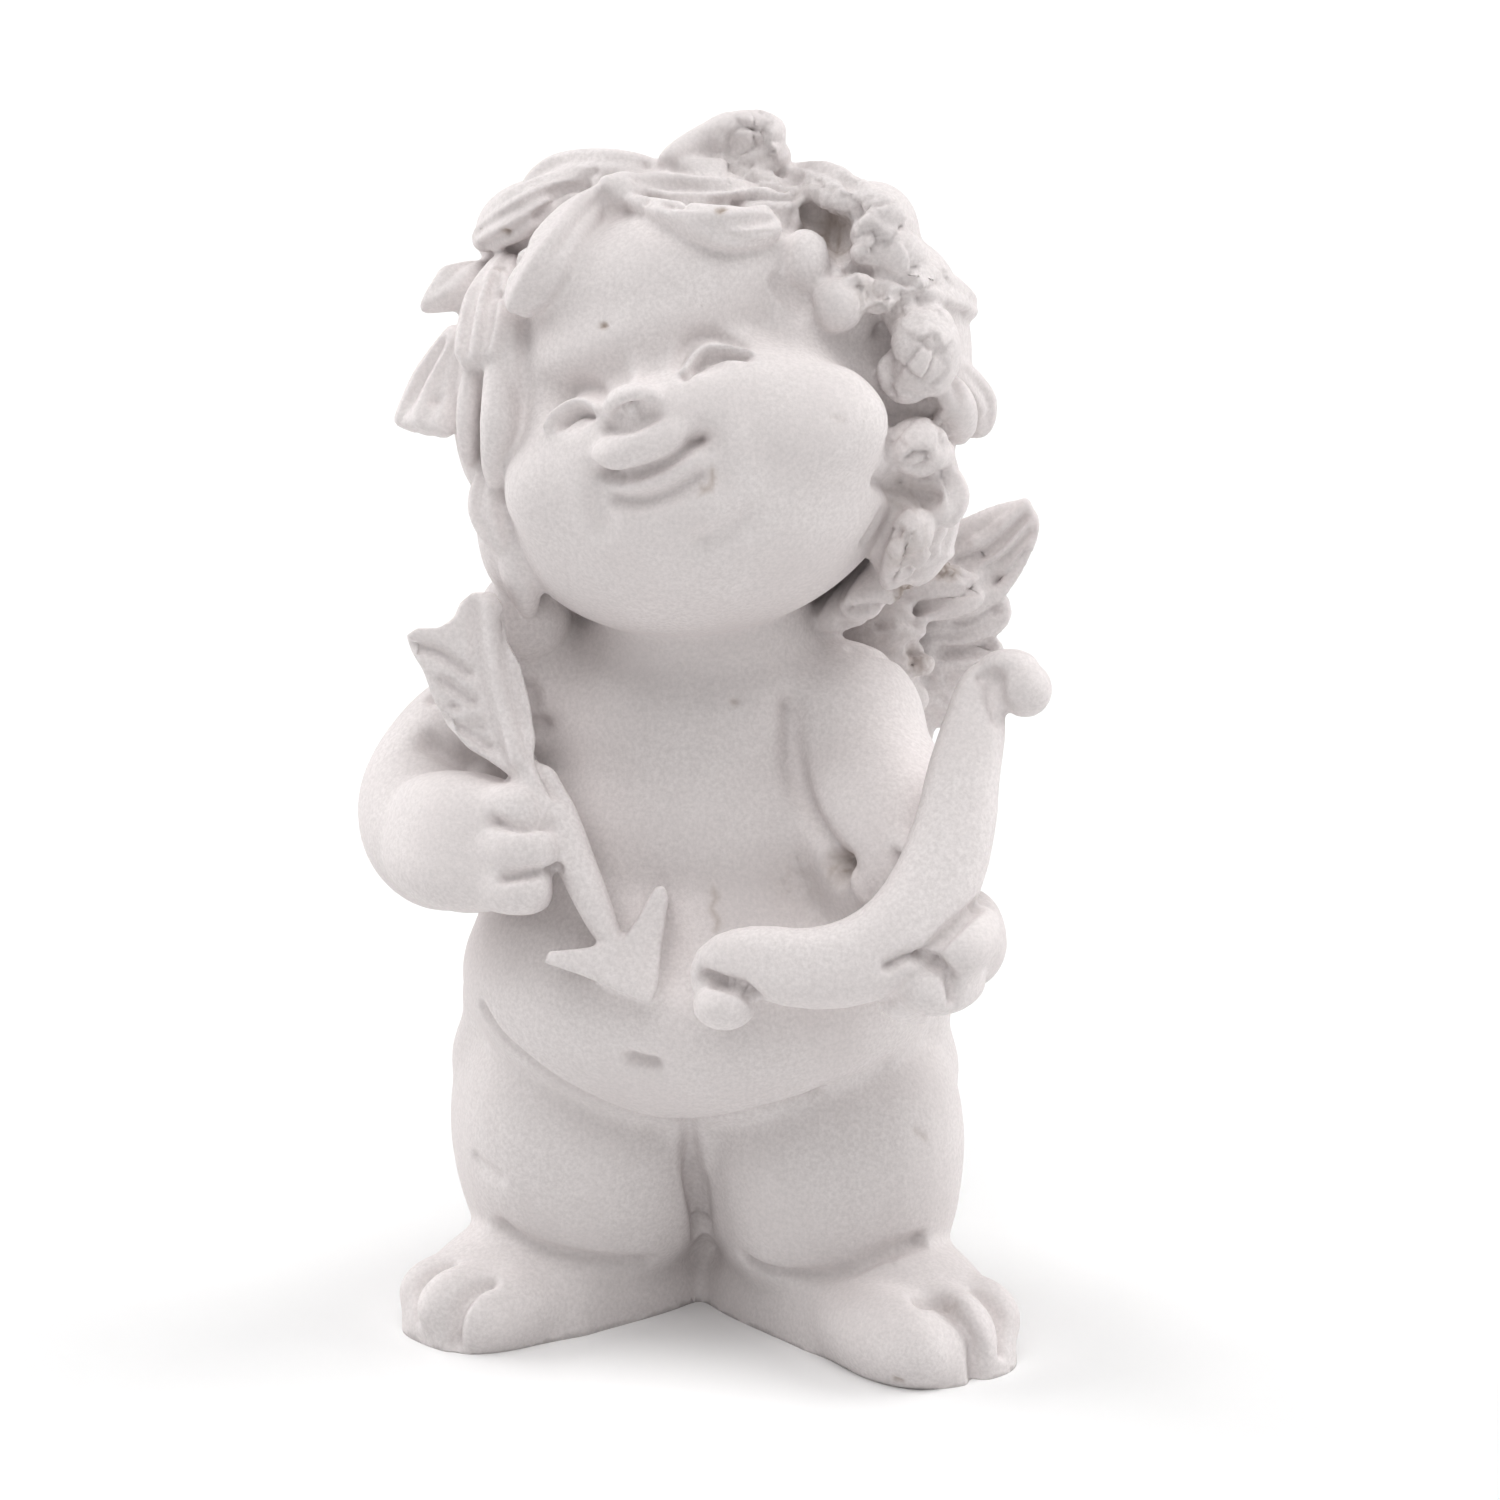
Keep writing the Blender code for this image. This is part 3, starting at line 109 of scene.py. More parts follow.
# Balls of the body: centre and half-sizes
BODY_BALLS = {
    "chest": ((-1.0, 0.5, 57.0), (16.0, 12.5, 13.5)),
    "neck": ((-0.5, -0.5, 69.0), (11.0, 10.0, 7.0)),
    "ribs": ((-0.3, -0.6, 46.5), (19.0, 15.0, 14.5)),
    "belly core": ((-0.2, -2.6, 35.2), (22.6, 18.0, 14.8)),
    "waist": ((-0.3, 1.0, 30.0), (24.2, 14.8, 10.0)),
    "hips": ((-0.6, 2.0, 22.5), (25.2, 14.0, 13.0)),
    "back": ((-0.3, 3.0, 42.0), (16.0, 11.5, 18.0)),
    "left buttock": ((-10.0, 8.0, 21.0), (12.5, 9.5, 11.0)),
    "right buttock": ((10.0, 8.0, 21.0), (12.5, 9.5, 11.0)),
    "between the legs": ((-0.8, 2.0, 12.0), (2.6, 6.0, 12.0)),
    "left shoulder": ((-16.0, 0.5, 60.4), (8.5, 8.0, 8.4)),
    "right shoulder": ((12.4, -1.0, 57.5), (8.8, 8.8, 8.8)),
}

BELLY = ((-0.4, -3.2, 33.4), (23.0, 18.4, 14.0))

# Arms and legs: points along the middle, half-widths, half-thicknesses, bluntness, squareness
LIMBS = {
    "left arm": (((-15.5, 1.0, 61.0), (-22.0, 0.0, 56.5), (-25.6, -4.0, 49.8), (-23.0, -11.5, 47.6),
                  (-17.0, -17.0, 48.0)), (6.6, 7.4, 7.9, 7.6, 6.6), None, 2.0, 2.0),
    "right arm": (((11.5, -0.5, 60.0), (15.0, -4.6, 55.0), (17.8, -10.2, 49.6), (20.0, -14.4, 45.6),
                   (22.8, -19.0, 42.4)), (7.2, 8.4, 8.4, 7.8, 6.4), None, 2.0, 2.0),
}
LEGS = {
    "left leg": (((-12.0, 0.5, 29.0), (-12.1, -0.5, 17.0), (-11.4, -0.6, 2.6)), (12.6, 12.8, 12.8),
                 (13.0, 14.4, 14.0), 4.5, 2.5),
    "right leg": (((11.2, 0.5, 29.0), (11.5, -1.0, 17.0), (11.8, -1.4, 2.0)), (12.8, 13.0, 12.8),
                  (13.0, 15.0, 14.8), 4.5, 2.5),
}

# Feet: heel, middle and front of each, with half-widths and half-thicknesses
FEET = {
    "left foot": (((-2.0, 2.0, -1.0), (-16.2, -7.4, 0.0), (-25.4, -18.0, -0.5)), (7.8, 9.0, 7.2),
                  (8.6, 10.2, 7.0)),
    "right foot": (((1.4, 2.0, -1.0), (17.4, -8.8, 0.0), (28.2, -22.0, -0.5)), (8.2, 9.6, 7.8),
                   (8.6, 10.6, 7.4)),
}

# Toes: each as its root, knuckle and tip, with its half-width
TOES = {
    "left big toe": (((-11.6, -9.6, 2.6), (-18.2, -15.6, 2.8), (-22.6, -19.8, 2.0)), 4.2),
    "left second toe": (((-17.0, -12.0, 4.6), (-22.6, -16.2, 4.4), (-25.6, -18.6, 2.0)), 2.7),
    "left third toe": (((-18.6, -8.6, 4.8), (-25.2, -12.2, 4.2), (-28.0, -14.2, 2.0)), 2.5),
    "right big toe": (((12.0, -12.0, 2.8), (19.6, -19.6, 3.2), (25.0, -24.8, 2.4)), 4.7),
    "right second toe": (((20.8, -14.6, 5.0), (25.6, -18.8, 5.0), (28.4, -21.6, 2.4)), 2.8),
    "right third toe": (((22.6, -10.0, 5.0), (28.2, -14.4, 4.6), (30.8, -16.8, 2.2)), 2.6),
}
# Grooves between the toes, as the creases below
TOE_GROOVES = {
    "left first": (((-21.4, 0.6), (-22.6, 0.1), (-23.8, -1.0), (-24.7, -2.6), (-25.0, -5.6)), 1.3, 0.7),
    "left second": (((-25.4, 2.1), (-27.0, 1.2), (-28.3, -0.4), (-28.7, -3.0)), 1.1, 0.6),
    "right first": (((20.8, -1.4), (22.4, -1.3), (23.8, -2.3), (25.2, -4.0), (26.0, -6.0), (26.3, -9.0)),
                    1.4, 0.8),
    "right second": (((26.0, -0.5), (27.6, -1.8), (28.6, -3.6), (28.9, -6.4)), 1.1, 0.6),
}
FOOT_SQUARENESS = 2.4
FOOT_BLUNTNESS = 4.0
TOE_BLUNTNESS = 2.6
# A toe's half-widths and half-thicknesses from root to tip, as shares of its own half-width
TOE_WIDTHS = (1.0, 1.0, 0.9)
TOE_THICKNESSES = (1.0, 1.05, 0.9)

# Balls of the head in the head's own frame
HEAD_BALLS = {
    "skull": ((0.0, 1.0, 1.5), (18.8, 18.2, 18.5)),
    "forehead": ((0.0, -5.0, 4.5), (15.5, 13.8, 13.5)),
    "face": ((0.0, -3.4, -3.6), (17.6, 16.4, 15.6)),
    "jaw": ((0.0, -1.5, -6.2), (18.9, 16.6, 13.4)),
}

# Features that stand out of the face: across, up and towards from the head's centre, half-sizes
# in the same three ways, and how far each is turned down to the left in degrees
CHEEKS = {
    "brow": ((-2.5, 13.4, 5.4), (14.0, 7.6, 10.8), 12.0),
    "left cheek": ((-12.8, -5.4, 9.0), (5.4, 5.8, 5.8), 0.0),
    "right cheek": ((8.2, -0.4, 13.4), (9.8, 6.2, 6.7), 10.0),
    "muzzle": ((-4.6, -2.2, 14.6), (7.0, 5.0, 4.4), 16.0),
    "chin": ((-3.8, -9.4, 13.9), (4.8, 2.8, 3.8), 12.0),
}
FEATURES = {
    "nose": ((-6.0, 2.7, 18.6), (2.9, 1.9, 3.2), 14.0),
    "nose root": ((-5.4, 4.2, 16.0), (2.4, 2.4, 3.0), 14.0),
    "upper lip": ((-4.6, -1.3, 17.8), (5.6, 2.5, 3.4), 18.0),
    "lower lip": ((-3.9, -5.0, 16.9), (3.9, 1.35, 2.7), 20.0),
}

# Strokes of the face: places across and up from the head's centre as the eye sees them, depth
# (negative is raised) and half-width
FACE_STROKES = {
    "eye hollow left": (((-14.2, 3.6), (-12.0, 4.4), (-8.4, 5.4)), 2.0, 1.9),
    "eye hollow right": (((-4.4, 7.0), (0.6, 9.4), (4.6, 10.4), (7.4, 10.6)), 2.1, 2.4),
    "right cheek top": (((-1.6, 2.4), (3.6, 4.4), (8.6, 5.6), (13.6, 5.2)), -0.6, 2.6),
    "left lid fold": (((-14.2, 2.5), (-13.4, 4.0), (-12.0, 4.7), (-10.5, 4.4), (-9.6, 3.4)), 0.9, 0.7),
    "left lid": (((-13.8, 0.2), (-13.2, 1.6), (-12.3, 2.7), (-11.2, 3.0), (-10.2, 2.6), (-9.4, 1.9)), -0.9,
                 0.5),
    "left eye": (((-13.0, 0.5), (-12.2, 1.5), (-11.2, 1.8), (-10.0, 1.5)), 1.4, 0.5),
    "left pupil": (((-11.9, 0.7), (-11.2, 0.8)), 0.8, 0.9),
    "right lid fold": (((-1.9, 6.8), (-1.0, 8.6), (0.6, 9.6), (2.6, 9.4), (4.4, 8.4)), 0.9, 0.7),
    "right lid": (((-1.2, 5.6), (-0.6, 7.0), (0.4, 8.1), (1.6, 8.4), (3.0, 8.0), (4.7, 7.3)), -0.9, 0.5),
    "right eye": (((-1.1, 5.1), (-0.2, 6.2), (0.8, 7.0), (2.0, 7.3), (3.4, 7.2), (4.6, 6.9)), 1.4, 0.5),
    "right pupil": (((0.8, 6.1), (1.6, 6.3)), 0.8, 0.9),
    "under the nose": (((-7.2, 1.5), (-6.2, 1.9), (-5.0, 2.0)), 1.5, 0.9),
    "left nostril": (((-7.8, 1.1), (-7.6, 1.2)), 0.8, 0.5),
    "nose foot": (((-8.4, 0.2), (-6.2, 0.3), (-4.0, 1.3)), 0.8, 0.6),
    "mouth line": (((-9.4, -3.9), (-8.5, -4.4), (-7.0, -4.5), (-5.5, -4.2), (-4.0, -3.8), (-2.5, -3.1),
                    (-1.2, -2.1), (-0.4, -1.2), (0.4, -0.7)), 1.6, 0.55),
    "left mouth corner": (((-9.6, -3.9), (-8.8, -4.4)), 0.25, 0.9),
    "right mouth corner": (((0.0, -1.0), (0.7, -0.6)), 0.6, 1.1),
    "lower lip edge": (((-6.4, -4.9), (-4.6, -4.4), (-2.6, -3.7), (-1.0, -2.6)), -0.35, 0.5),
    "below the lip": (((-8.0, -6.7), (-6.0, -6.9), (-4.4, -6.7), (-2.6, -6.1), (-1.0, -5.3), (0.2, -4.5)),
                      1.4, 0.9),
    "left smile fold": (((-9.7, -4.2), (-9.6, -6.4), (-9.2, -9.0)), 0.9, 1.2),
    "right smile fold": (((0.8, -0.4), (1.7, -2.4), (2.0, -4.6)), 0.8, 1.3),
    "chin furrow": (((0.4, -10.6), (2.4, -9.8), (4.4, -8.6)), 0.9, 1.3),
}

# Locks of hair: across, up and rise above the skin along each, as the eye sees them, then the
# half-widths, the half-thickness, how blunt the tip is, and how many strands run along it
LOCKS = {
    "crown top": (((-3.0, 24.2, 0.0), (-8.0, 24.4, 0.6), (-13.0, 23.8, 0.8), (-16.4, 22.0, 0.4)),
                  (2.0, 2.2, 2.4, 1.8), 1.8, 2.8, 2),
    "crown left": (((-8.2, 23.4, 0.0), (-13.0, 22.2, 1.2), (-17.2, 20.0, 1.8), (-20.6, 17.7, 1.6)),
                   (1.2, 2.3, 2.8, 2.5), 1.8, 3.2, 3),
    "broad end": (((-17.6, 16.0, 1.0), (-19.2, 11.6, 2.0), (-20.4, 5.9, 2.4)), (2.0, 3.0, 3.3), 2.2, 7.0, 3),
    "fringe lobe": (((-8.4, 22.6, 0.6), (-11.2, 19.6, 2.2), (-14.2, 15.4, 3.2), (-17.1, 11.0, 3.0)),
                    (0.9, 2.3, 3.0, 2.5), 2.1, 4.2, 1),
    "short point": (((-19.6, 15.6, 0.0), (-22.6, 13.4, 0.6), (-26.0, 11.1, 0.6)), (2.4, 2.6, 0.8), 1.8, 1.9,
                    2),
    "flared lock": (((-22.0, 9.4, 0.0), (-24.0, 4.5, 1.6), (-25.8, -0.2, 2.6)), (1.8, 3.2, 4.2), 1.7, 9.0,
                    3),
    "inner strand": (((-21.0, 7.6, 1.0), (-21.4, 1.6, 1.6), (-21.3, -3.6, 1.4)), (0.9, 1.1, 1.0), 1.3, 2.6,
                     1),
    "cheek lock": (((-18.8, 9.0, -1.0), (-18.5, 0.8, 0.8), (-18.8, -5.2, 1.4)), (1.2, 1.8, 1.6), 1.8, 3.4,
                   1),
    "side left": (((-19.0, -2.6, 0.0), (-19.4, -7.2, 0.4), (-18.0, -11.6, 0.2)), (2.0, 2.3, 1.8), 1.8, 2.4,
                  2),
    "nape left": (((-17.4, -9.4, 0.0), (-16.6, -13.4, 0.4), (-15.6, -17.4, 0.0)), (1.8, 1.8, 1.4), 1.6, 2.4,
                  1),
    "fringe sweep": (((-7.0, 21.6, 0.4), (-2.2, 20.0, 1.4), (2.6, 19.0, 2.2), (7.8, 19.0, 2.6)),
                     (0.8, 1.5, 2.2, 2.2), 1.7, 4.6, 2),
    "fringe middle": (((-6.4, 22.6, 0.6), (-1.2, 21.5, 1.8), (4.0, 21.3, 2.2), (9.0, 20.8, 2.2)),
                      (0.8, 1.4, 1.8, 2.0), 1.7, 4.6, 1),
    "fringe upper": (((-6.0, 23.4, 0.6), (0.0, 22.9, 1.6), (5.0, 22.5, 2.0), (9.2, 21.8, 2.0)),
                     (0.9, 1.3, 1.7, 1.9), 1.7, 4.6, 1),
    "fringe top": (((-4.8, 24.2, 0.4), (1.0, 24.1, 1.4), (6.0, 23.6, 1.6), (9.8, 22.8, 1.6)),
                   (1.0, 1.3, 1.6, 1.7), 1.7, 4.6, 1),
    "tuft": (((-3.4, 24.8, 3.0), (0.6, 26.4, 4.0), (4.6, 27.4, 4.5), (8.0, 26.9, 4.2)), (1.4, 1.8, 2.4, 2.5),
             2.8, 5.0, 1),
    "crown right": (((7.6, 23.6, 0.4), (12.0, 22.6, 1.6), (16.6, 20.6, 1.8)), (2.0, 2.6, 2.4), 2.2, 4.4, 2),
    "crown right end": (((14.0, 21.2, 1.6), (17.2, 20.4, 2.0), (19.0, 19.2, 1.6)), (1.8, 1.9, 1.4), 2.0, 3.0,
                        1),
    "wall": (((15.6, 21.0, 1.0), (15.8, 18.0, 1.8), (15.6, 15.4, 1.4)), (1.4, 1.7, 1.5), 2.2, 3.0, 1),
    "side block": (((15.0, 18.0, 1.2), (18.0, 16.8, 2.2), (20.4, 15.0, 1.6)), (2.2, 2.8, 2.2), 2.4, 3.6, 1),
    "side point": (((15.6, 14.6, 0.6), (20.6, 13.4, 1.6), (25.6, 11.2, 1.0)), (2.4, 3.1, 2.4), 2.2, 3.6, 2),
    "big lobe": (((18.4, 11.4, 0.6), (20.8, 9.6, 1.6), (21.4, 6.6, 1.8), (20.8, 3.4, 1.2)),
                 (2.4, 3.3, 3.5, 3.0), 2.4, 5.0, 1),
    "outer lock": (((23.6, 6.4, -0.6), (25.8, 2.6, -0.4), (26.2, -0.8, -0.8)), (2.0, 2.3, 1.9), 2.0, 3.0, 2),
    "inner lobe": (((22.8, 5.2, 0.4), (24.0, 2.2, 1.2), (24.4, -0.8, 0.8)), (1.8, 2.0, 1.7), 2.0, 3.0, 1),
    "lower lock": (((22.6, -3.0, 0.2), (23.4, -6.2, 0.6), (22.6, -9.2, 0.2)), (1.9, 2.2, 1.8), 2.0, 3.0, 2),
    "nape right": (((21.0, -7.0, 0.4), (19.8, -10.8, 0.8), (17.6, -14.6, 0.2)), (2.2, 2.2, 1.5), 1.8, 2.6,
                   2),
}

# Lines carved into the hair, as the strokes of the face
HAIR_STROKES = {
    "left of the lobe": (((-10.6, 22.8), (-12.6, 22.2), (-14.6, 19.8), (-16.6, 16.6), (-18.6, 12.8)), 0.9,
                         0.5),
    "lobe crest": (((-8.6, 23.2), (-11.0, 21.2), (-13.4, 18.2), (-16.0, 14.6), (-17.4, 11.6)), -0.55, 0.7),
    "lobe facet": (((-9.2, 21.8), (-11.4, 19.2), (-13.4, 15.8), (-15.0, 12.4)), 0.35, 0.8),
    "crown left upper": (((-9.6, 24.2), (-13.4, 22.4), (-17.6, 20.6), (-20.6, 18.8)), 0.5, 0.5),
    "crown left lower": (((-10.4, 23.0), (-14.6, 20.6), (-17.6, 18.4), (-20.0, 17.2)), 0.5, 0.5),
    "broad end outer": (((-20.4, 13.4), (-21.3, 10.0), (-21.9, 6.6)), 0.45, 0.5),
    "broad end inner": (((-18.9, 14.0), (-19.5, 10.0), (-20.0, 6.4)), 0.45, 0.5),
    "sweep upper edge": (((-2.8, 21.2), (-1.6, 21.0), (2.0, 21.2), (5.6, 21.8), (9.0, 21.8)), 0.7, 0.5),
    "sweep ridge": (((-3.6, 20.6), (-2.4, 20.4), (-1.0, 20.2), (2.0, 20.0), (5.0, 20.4), (8.4, 20.9)), -0.45,
                    0.5),
    "sweep line 1": (((0.4, 19.2), (3.4, 19.0), (6.4, 19.6), (9.0, 20.2)), 0.4, 0.5),
    "sweep line 2": (((1.4, 18.5), (4.2, 18.1), (6.8, 18.5), (8.8, 19.2)), 0.4, 0.5),
    "sweep line 3": (((3.0, 17.8), (5.4, 17.4), (7.6, 17.8)), 0.35, 0.5),
    "middle line": (((-5.6, 23.6), (-1.8, 22.7), (2.6, 22.8), (6.4, 22.9), (9.4, 22.2)), 0.6, 0.5),
    "top line": (((-4.8, 24.8), (0.0, 24.2), (4.2, 24.0), (8.6, 23.4)), 0.5, 0.5),
    "below the knobs": (((7.4, 14.0), (9.0, 12.4), (10.4, 11.6)), 0.5, 0.6),
    "hole": (((10.4, 20.4), (12.0, 19.0), (13.2, 17.6), (13.4, 16.4)), 1.5, 0.9),
    "below the side block": (((14.2, 15.0), (16.8, 14.6), (19.6, 13.9)), 0.9, 0.5),
    "side point ridge": (((16.4, 14.6), (20.6, 14.2), (25.0, 12.4)), -0.4, 0.6),
    "side point groove": (((17.0, 12.6), (21.0, 12.2), (25.0, 10.8)), 0.5, 0.5),
    "beside the big lobe": (((17.2, 9.4), (17.6, 6.4), (18.0, 3.4)), 0.9, 0.6),
    "recess": (((17.0, -4.8), (19.4, -5.6), (22.0, -6.2)), 1.2, 0.9),
    "nape line": (((18.6, -9.4), (19.6, -12.0), (18.2, -14.4)), 0.8, 0.5),
    "flared upper": (((-24.0, 8.2), (-25.8, 4.6), (-28.0, 0.8)), 0.5, 0.5),
    "flared lower": (((-22.6, 6.6), (-24.6, 2.6), (-26.0, -1.4)), 0.5, 0.5),
}

# Knobs and lumps of hair: across, up and rise as the eye sees them, and half-sizes across, up
# and towards
KNOBS = {
    "knob by the fringe": ((10.1, 15.8, 0.8), (2.4, 3.0, 2.6)),
    "second knob": ((13.1, 11.7, 0.6), (2.6, 2.5, 2.6)),
    "crumb above the knob": ((15.0, 13.8, 1.6), (1.6, 1.0, 1.2)),
    "crumb ledge": ((16.8, 12.0, 1.8), (1.8, 1.1, 1.3)),
    "crumb end": ((18.8, 11.2, 1.8), (1.6, 1.2, 1.2)),
    "tuft block": ((5.2, 25.6, 4.0), (3.6, 2.2, 3.0)),
    "parting": ((-6.8, 22.2, 0.5), (2.6, 2.0, 1.8)),
    "fringe end": ((8.6, 20.2, 1.4), (1.8, 2.8, 2.2)),
    "rough face": ((19.6, 5.4, 1.4), (2.8, 3.0, 1.8)),
    "wedge": ((20.6, -1.6, 2.2), (2.9, 2.8, 2.4)),
    "wedge end": ((22.6, -2.4, 1.8), (1.6, 1.8, 1.8)),
}

# Fillings under the locks: across, up and towards from the head's centre, and half-sizes
HAIR_MASSES = {
    "left": ((-20.2, 4.0, 0.0), (2.9, 10.0, 6.0)),
    "left temple": ((-15.6, 8.5, 0.5), (3.6, 7.0, 6.4)),
    "left edge": ((-17.3, 4.6, 5.0), (2.5, 8.0, 5.4)),
    "left crown": ((-13.6, 18.4, -4.6), (7.4, 5.4, 8.0)),
    "left low": ((-17.4, -8.0, -1.0), (3.4, 7.6, 6.0)),
    "nape": ((-16.2, -17.6, -6.4), (4.6, 4.8, 5.0)),
    "crown": ((-3.0, 21.8, -2.0), (10.0, 3.6, 9.0)),
    "right crown": ((13.2, 18.6, -0.6), (6.9, 5.0, 8.8)),
    "hairline": ((-7.6, 19.8, 1.6), (5.4, 3.3, 7.4)),
    "plateau": ((16.4, 18.4, 3.4), (4.5, 5.0, 5.6)),
    "right temple": ((12.9, 12.4, 5.0), (5.4, 6.6, 6.8)),
    "right": ((20.2, 6.4, 0.0), (5.6, 11.4, 8.6)),
    "right low": ((19.8, -6.6, -0.4), (5.0, 8.4, 7.8)),
}

# Hair cap over the skull, then rows of plain locks combed down at the back, in the head's own frame
HAIR_CAP = ((0.3, 3.4, 4.2), (20.6, 19.0, 21.2))
BACK_ROWS = (
    (6, 62.0, 24.0, 96.0, 262.0, 22.4),
    (8, 30.0, -10.0, 104.0, 254.0, 22.2),
    (8, -6.0, -36.0, 112.0, 246.0, 22.0),
    (6, -28.0, -56.0, 128.0, 236.0, 21.6),
)
BACK_LOCK = (3.4, 4.2, 2.8)
BACK_LOCK_THICKNESS = 2.6
BACK_LOCK_BLUNTNESS = 2.4
# How far the middle of each back lock swings aside in degrees, how that differs from one lock to the
# next, and how far its top, middle and end stand off
BACK_LOCK_SWING = 6.0
BACK_LOCK_SWING_STEP = 2.3
BACK_LOCK_RISES = (0.0, 1.2, 0.6)
# Thickness of a lock at its root, middle and tip as shares of its own, and how far it faces the eye
LOCK_THICKNESSES = (0.8, 1.15, 1.1)
LOCK_FACING = 0.6
# Depth of the grooves between strands, as a share of the half-thickness
STRAND_GROOVE = 0.45
# Strands combed over the back of the head: how many, the bearings of the first and the last, the
# heights where they start and end in degrees, how much lower every second and third one starts, how
# far and how fast they wave, how far out the skin of the head lies, and depth and half-width
COMBED_COUNT = 34
COMBED_BEARINGS = (84.0, 272.0)
COMBED_HEIGHTS = (76.0, -46.0)
COMBED_STAGGER = 9.0
COMBED_STATIONS = 7
COMBED_WAVE = 3.2
COMBED_WAVE_TURN = 5.2
COMBED_WAVE_STEP = 1.7
COMBED_REACH = 26.0
COMBED_GROOVE = (0.65, 0.62)

# Arrow in the left hand: places across and up from the ground point as the eye sees them, and how
# far towards the eye each lies
ARROW_TOWARDS = 31.0
SHAFT = (((-21.4, 66.0, 29.6), (-19.6, 57.0, 29.8), (-17.4, 51.0, 30.4), (-14.9, 46.0, 31.0),
          (-12.6, 40.5, 31.6), (-10.6, 36.0, 32.0), (-8.2, 31.0, 31.6)), (1.2, 1.7, 2.0, 2.0, 1.9, 2.0, 2.0))
ARROW_HEAD = ((-5.8, 27.8), (-5.0, 29.4), (-4.7, 33.0), (-3.9, 38.2), (-4.4, 39.4), (-5.3, 39.2),
              (-7.0, 36.2), (-8.6, 33.8), (-12.4, 33.2), (-15.7, 32.9), (-16.2, 31.8), (-12.6, 30.6),
              (-9.0, 29.1))
HEAD_THICKNESS = 4.6
VANE = ((-29.7, 63.9), (-28.6, 64.6), (-26.5, 64.6), (-25.0, 65.6), (-24.4, 67.1), (-23.2, 68.1),
        (-21.2, 68.1), (-20.2, 66.6), (-19.8, 63.4), (-18.5, 61.0), (-17.6, 57.5), (-17.0, 53.5),
        (-16.0, 50.4), (-18.8, 49.6), (-21.4, 51.5), (-23.6, 52.8), (-25.6, 55.0), (-27.0, 57.6),
        (-28.0, 60.4), (-29.1, 62.2))
VANE_TOWARDS = 29.4
VANE_THICKNESS = 3.2
VANE_GROOVES = {
    "rib": (((-21.6, 66.6), (-21.2, 62.0), (-20.2, 57.0), (-18.8, 52.0)), -0.9, 0.9),
    "rib left side": (((-23.0, 66.6), (-22.8, 62.0), (-21.9, 57.0), (-20.4, 52.4)), 0.5, 0.5),
    "rib right side": (((-20.2, 65.6), (-19.7, 62.0), (-18.8, 57.0), (-17.6, 52.0)), 0.5, 0.5),
    "left 1": (((-29.2, 62.8), (-26.6, 62.2), (-23.6, 60.2)), 1.0, 0.6),
    "left 2": (((-28.4, 60.3), (-26.0, 59.4), (-23.2, 57.4)), 1.0, 0.6),
    "left 3": (((-27.3, 57.9), (-25.0, 56.9), (-22.4, 54.9)), 1.0, 0.6),
    "left 4": (((-25.9, 55.6), (-24.0, 54.6), (-21.6, 52.9)), 1.0, 0.6),
}

# Bow in the right hand, as the arrow
BOW_PATH = ((28.4, 61.2, 33.6), (26.6, 59.0, 34.0), (26.0, 55.0, 34.6), (24.9, 50.0, 35.4),
            (24.2, 45.6, 36.2), (22.6, 40.4, 37.2), (19.4, 35.0, 38.2), (14.6, 32.0, 38.6),
            (9.4, 31.2, 38.6), (4.6, 32.0, 38.2), (0.8, 31.8, 37.8), (-0.5, 29.4, 37.6), (0.4, 27.4, 37.6))
BOW_HALF_WIDTHS = (2.5, 3.1, 3.7, 3.8, 3.9, 4.1, 4.3, 4.1, 3.9, 3.7, 3.0, 1.9, 1.6)
BOW_BLUNTNESS = 2.6
BOW_SQUARENESS = 2.8
BOW_BALLS = {
    "knob": ((31.0, 58.6, 35.2), (2.5, 2.6, 2.6)),
    "knob top": ((29.4, 60.8, 34.4), (2.8, 1.7, 2.4)),
    "curl": ((1.5, 27.6, 38.6), (2.9, 2.3, 2.8)),
}
BOW_GROOVES = {
    "curl": (((-0.4, 30.5), (0.8, 30.0), (2.0, 29.7), (3.2, 29.4), (4.3, 28.6)), 1.3, 0.6),
    "knob": (((28.0, 60.0), (27.8, 57.6), (28.4, 55.6)), 0.8, 0.9),
}

# Hands: blocks of the palms, then the fingers, all as the arrow, with half-widths and half-thicknesses
PALMS = {
    "left palm": (((-30.0, 45.2, 19.0), (-23.6, 43.6, 26.2), (-16.2, 43.0, 30.4)), (6.4, 6.7, 6.1),
                  (5.4, 5.6, 4.8), 3.0),
    "right palm": (((25.2, 38.0, 28.0), (24.4, 33.6, 31.6), (22.6, 30.8, 33.0)), (3.6, 4.6, 4.0),
                   (4.4, 5.4, 4.8), 2.4),
}
FINGERS = {
    "left finger 1": (((-22.6, 47.0, 28.0), (-18.6, 47.0, 30.4), (-16.2, 46.8, 30.6)), 2.4, 3.6),
    "left finger 2": (((-22.6, 43.0, 28.4), (-18.0, 43.1, 31.2), (-14.4, 42.9, 31.2)), 2.7, 4.0),
    "left finger 3": (((-22.4, 39.2, 28.0), (-18.4, 39.0, 30.8), (-15.2, 39.2, 30.8)), 2.5, 3.8),
    "right finger 1": (((27.2, 36.2, 35.4), (25.2, 33.4, 39.4), (22.6, 31.2, 40.8)), 2.6, 3.0),
    "right finger 2": (((26.0, 30.4, 34.4), (22.6, 29.2, 38.8), (19.0, 29.2, 40.6)), 2.5, 3.0),
    "right finger 3": (((21.4, 26.4, 32.6), (18.6, 27.4, 36.6), (17.0, 28.2, 37.8)), 1.3, 1.6),
    "right thumb": (((21.0, 44.8, 32.0), (19.0, 43.6, 33.6), (17.8, 42.8, 34.0)), 1.1, 1.2),
}
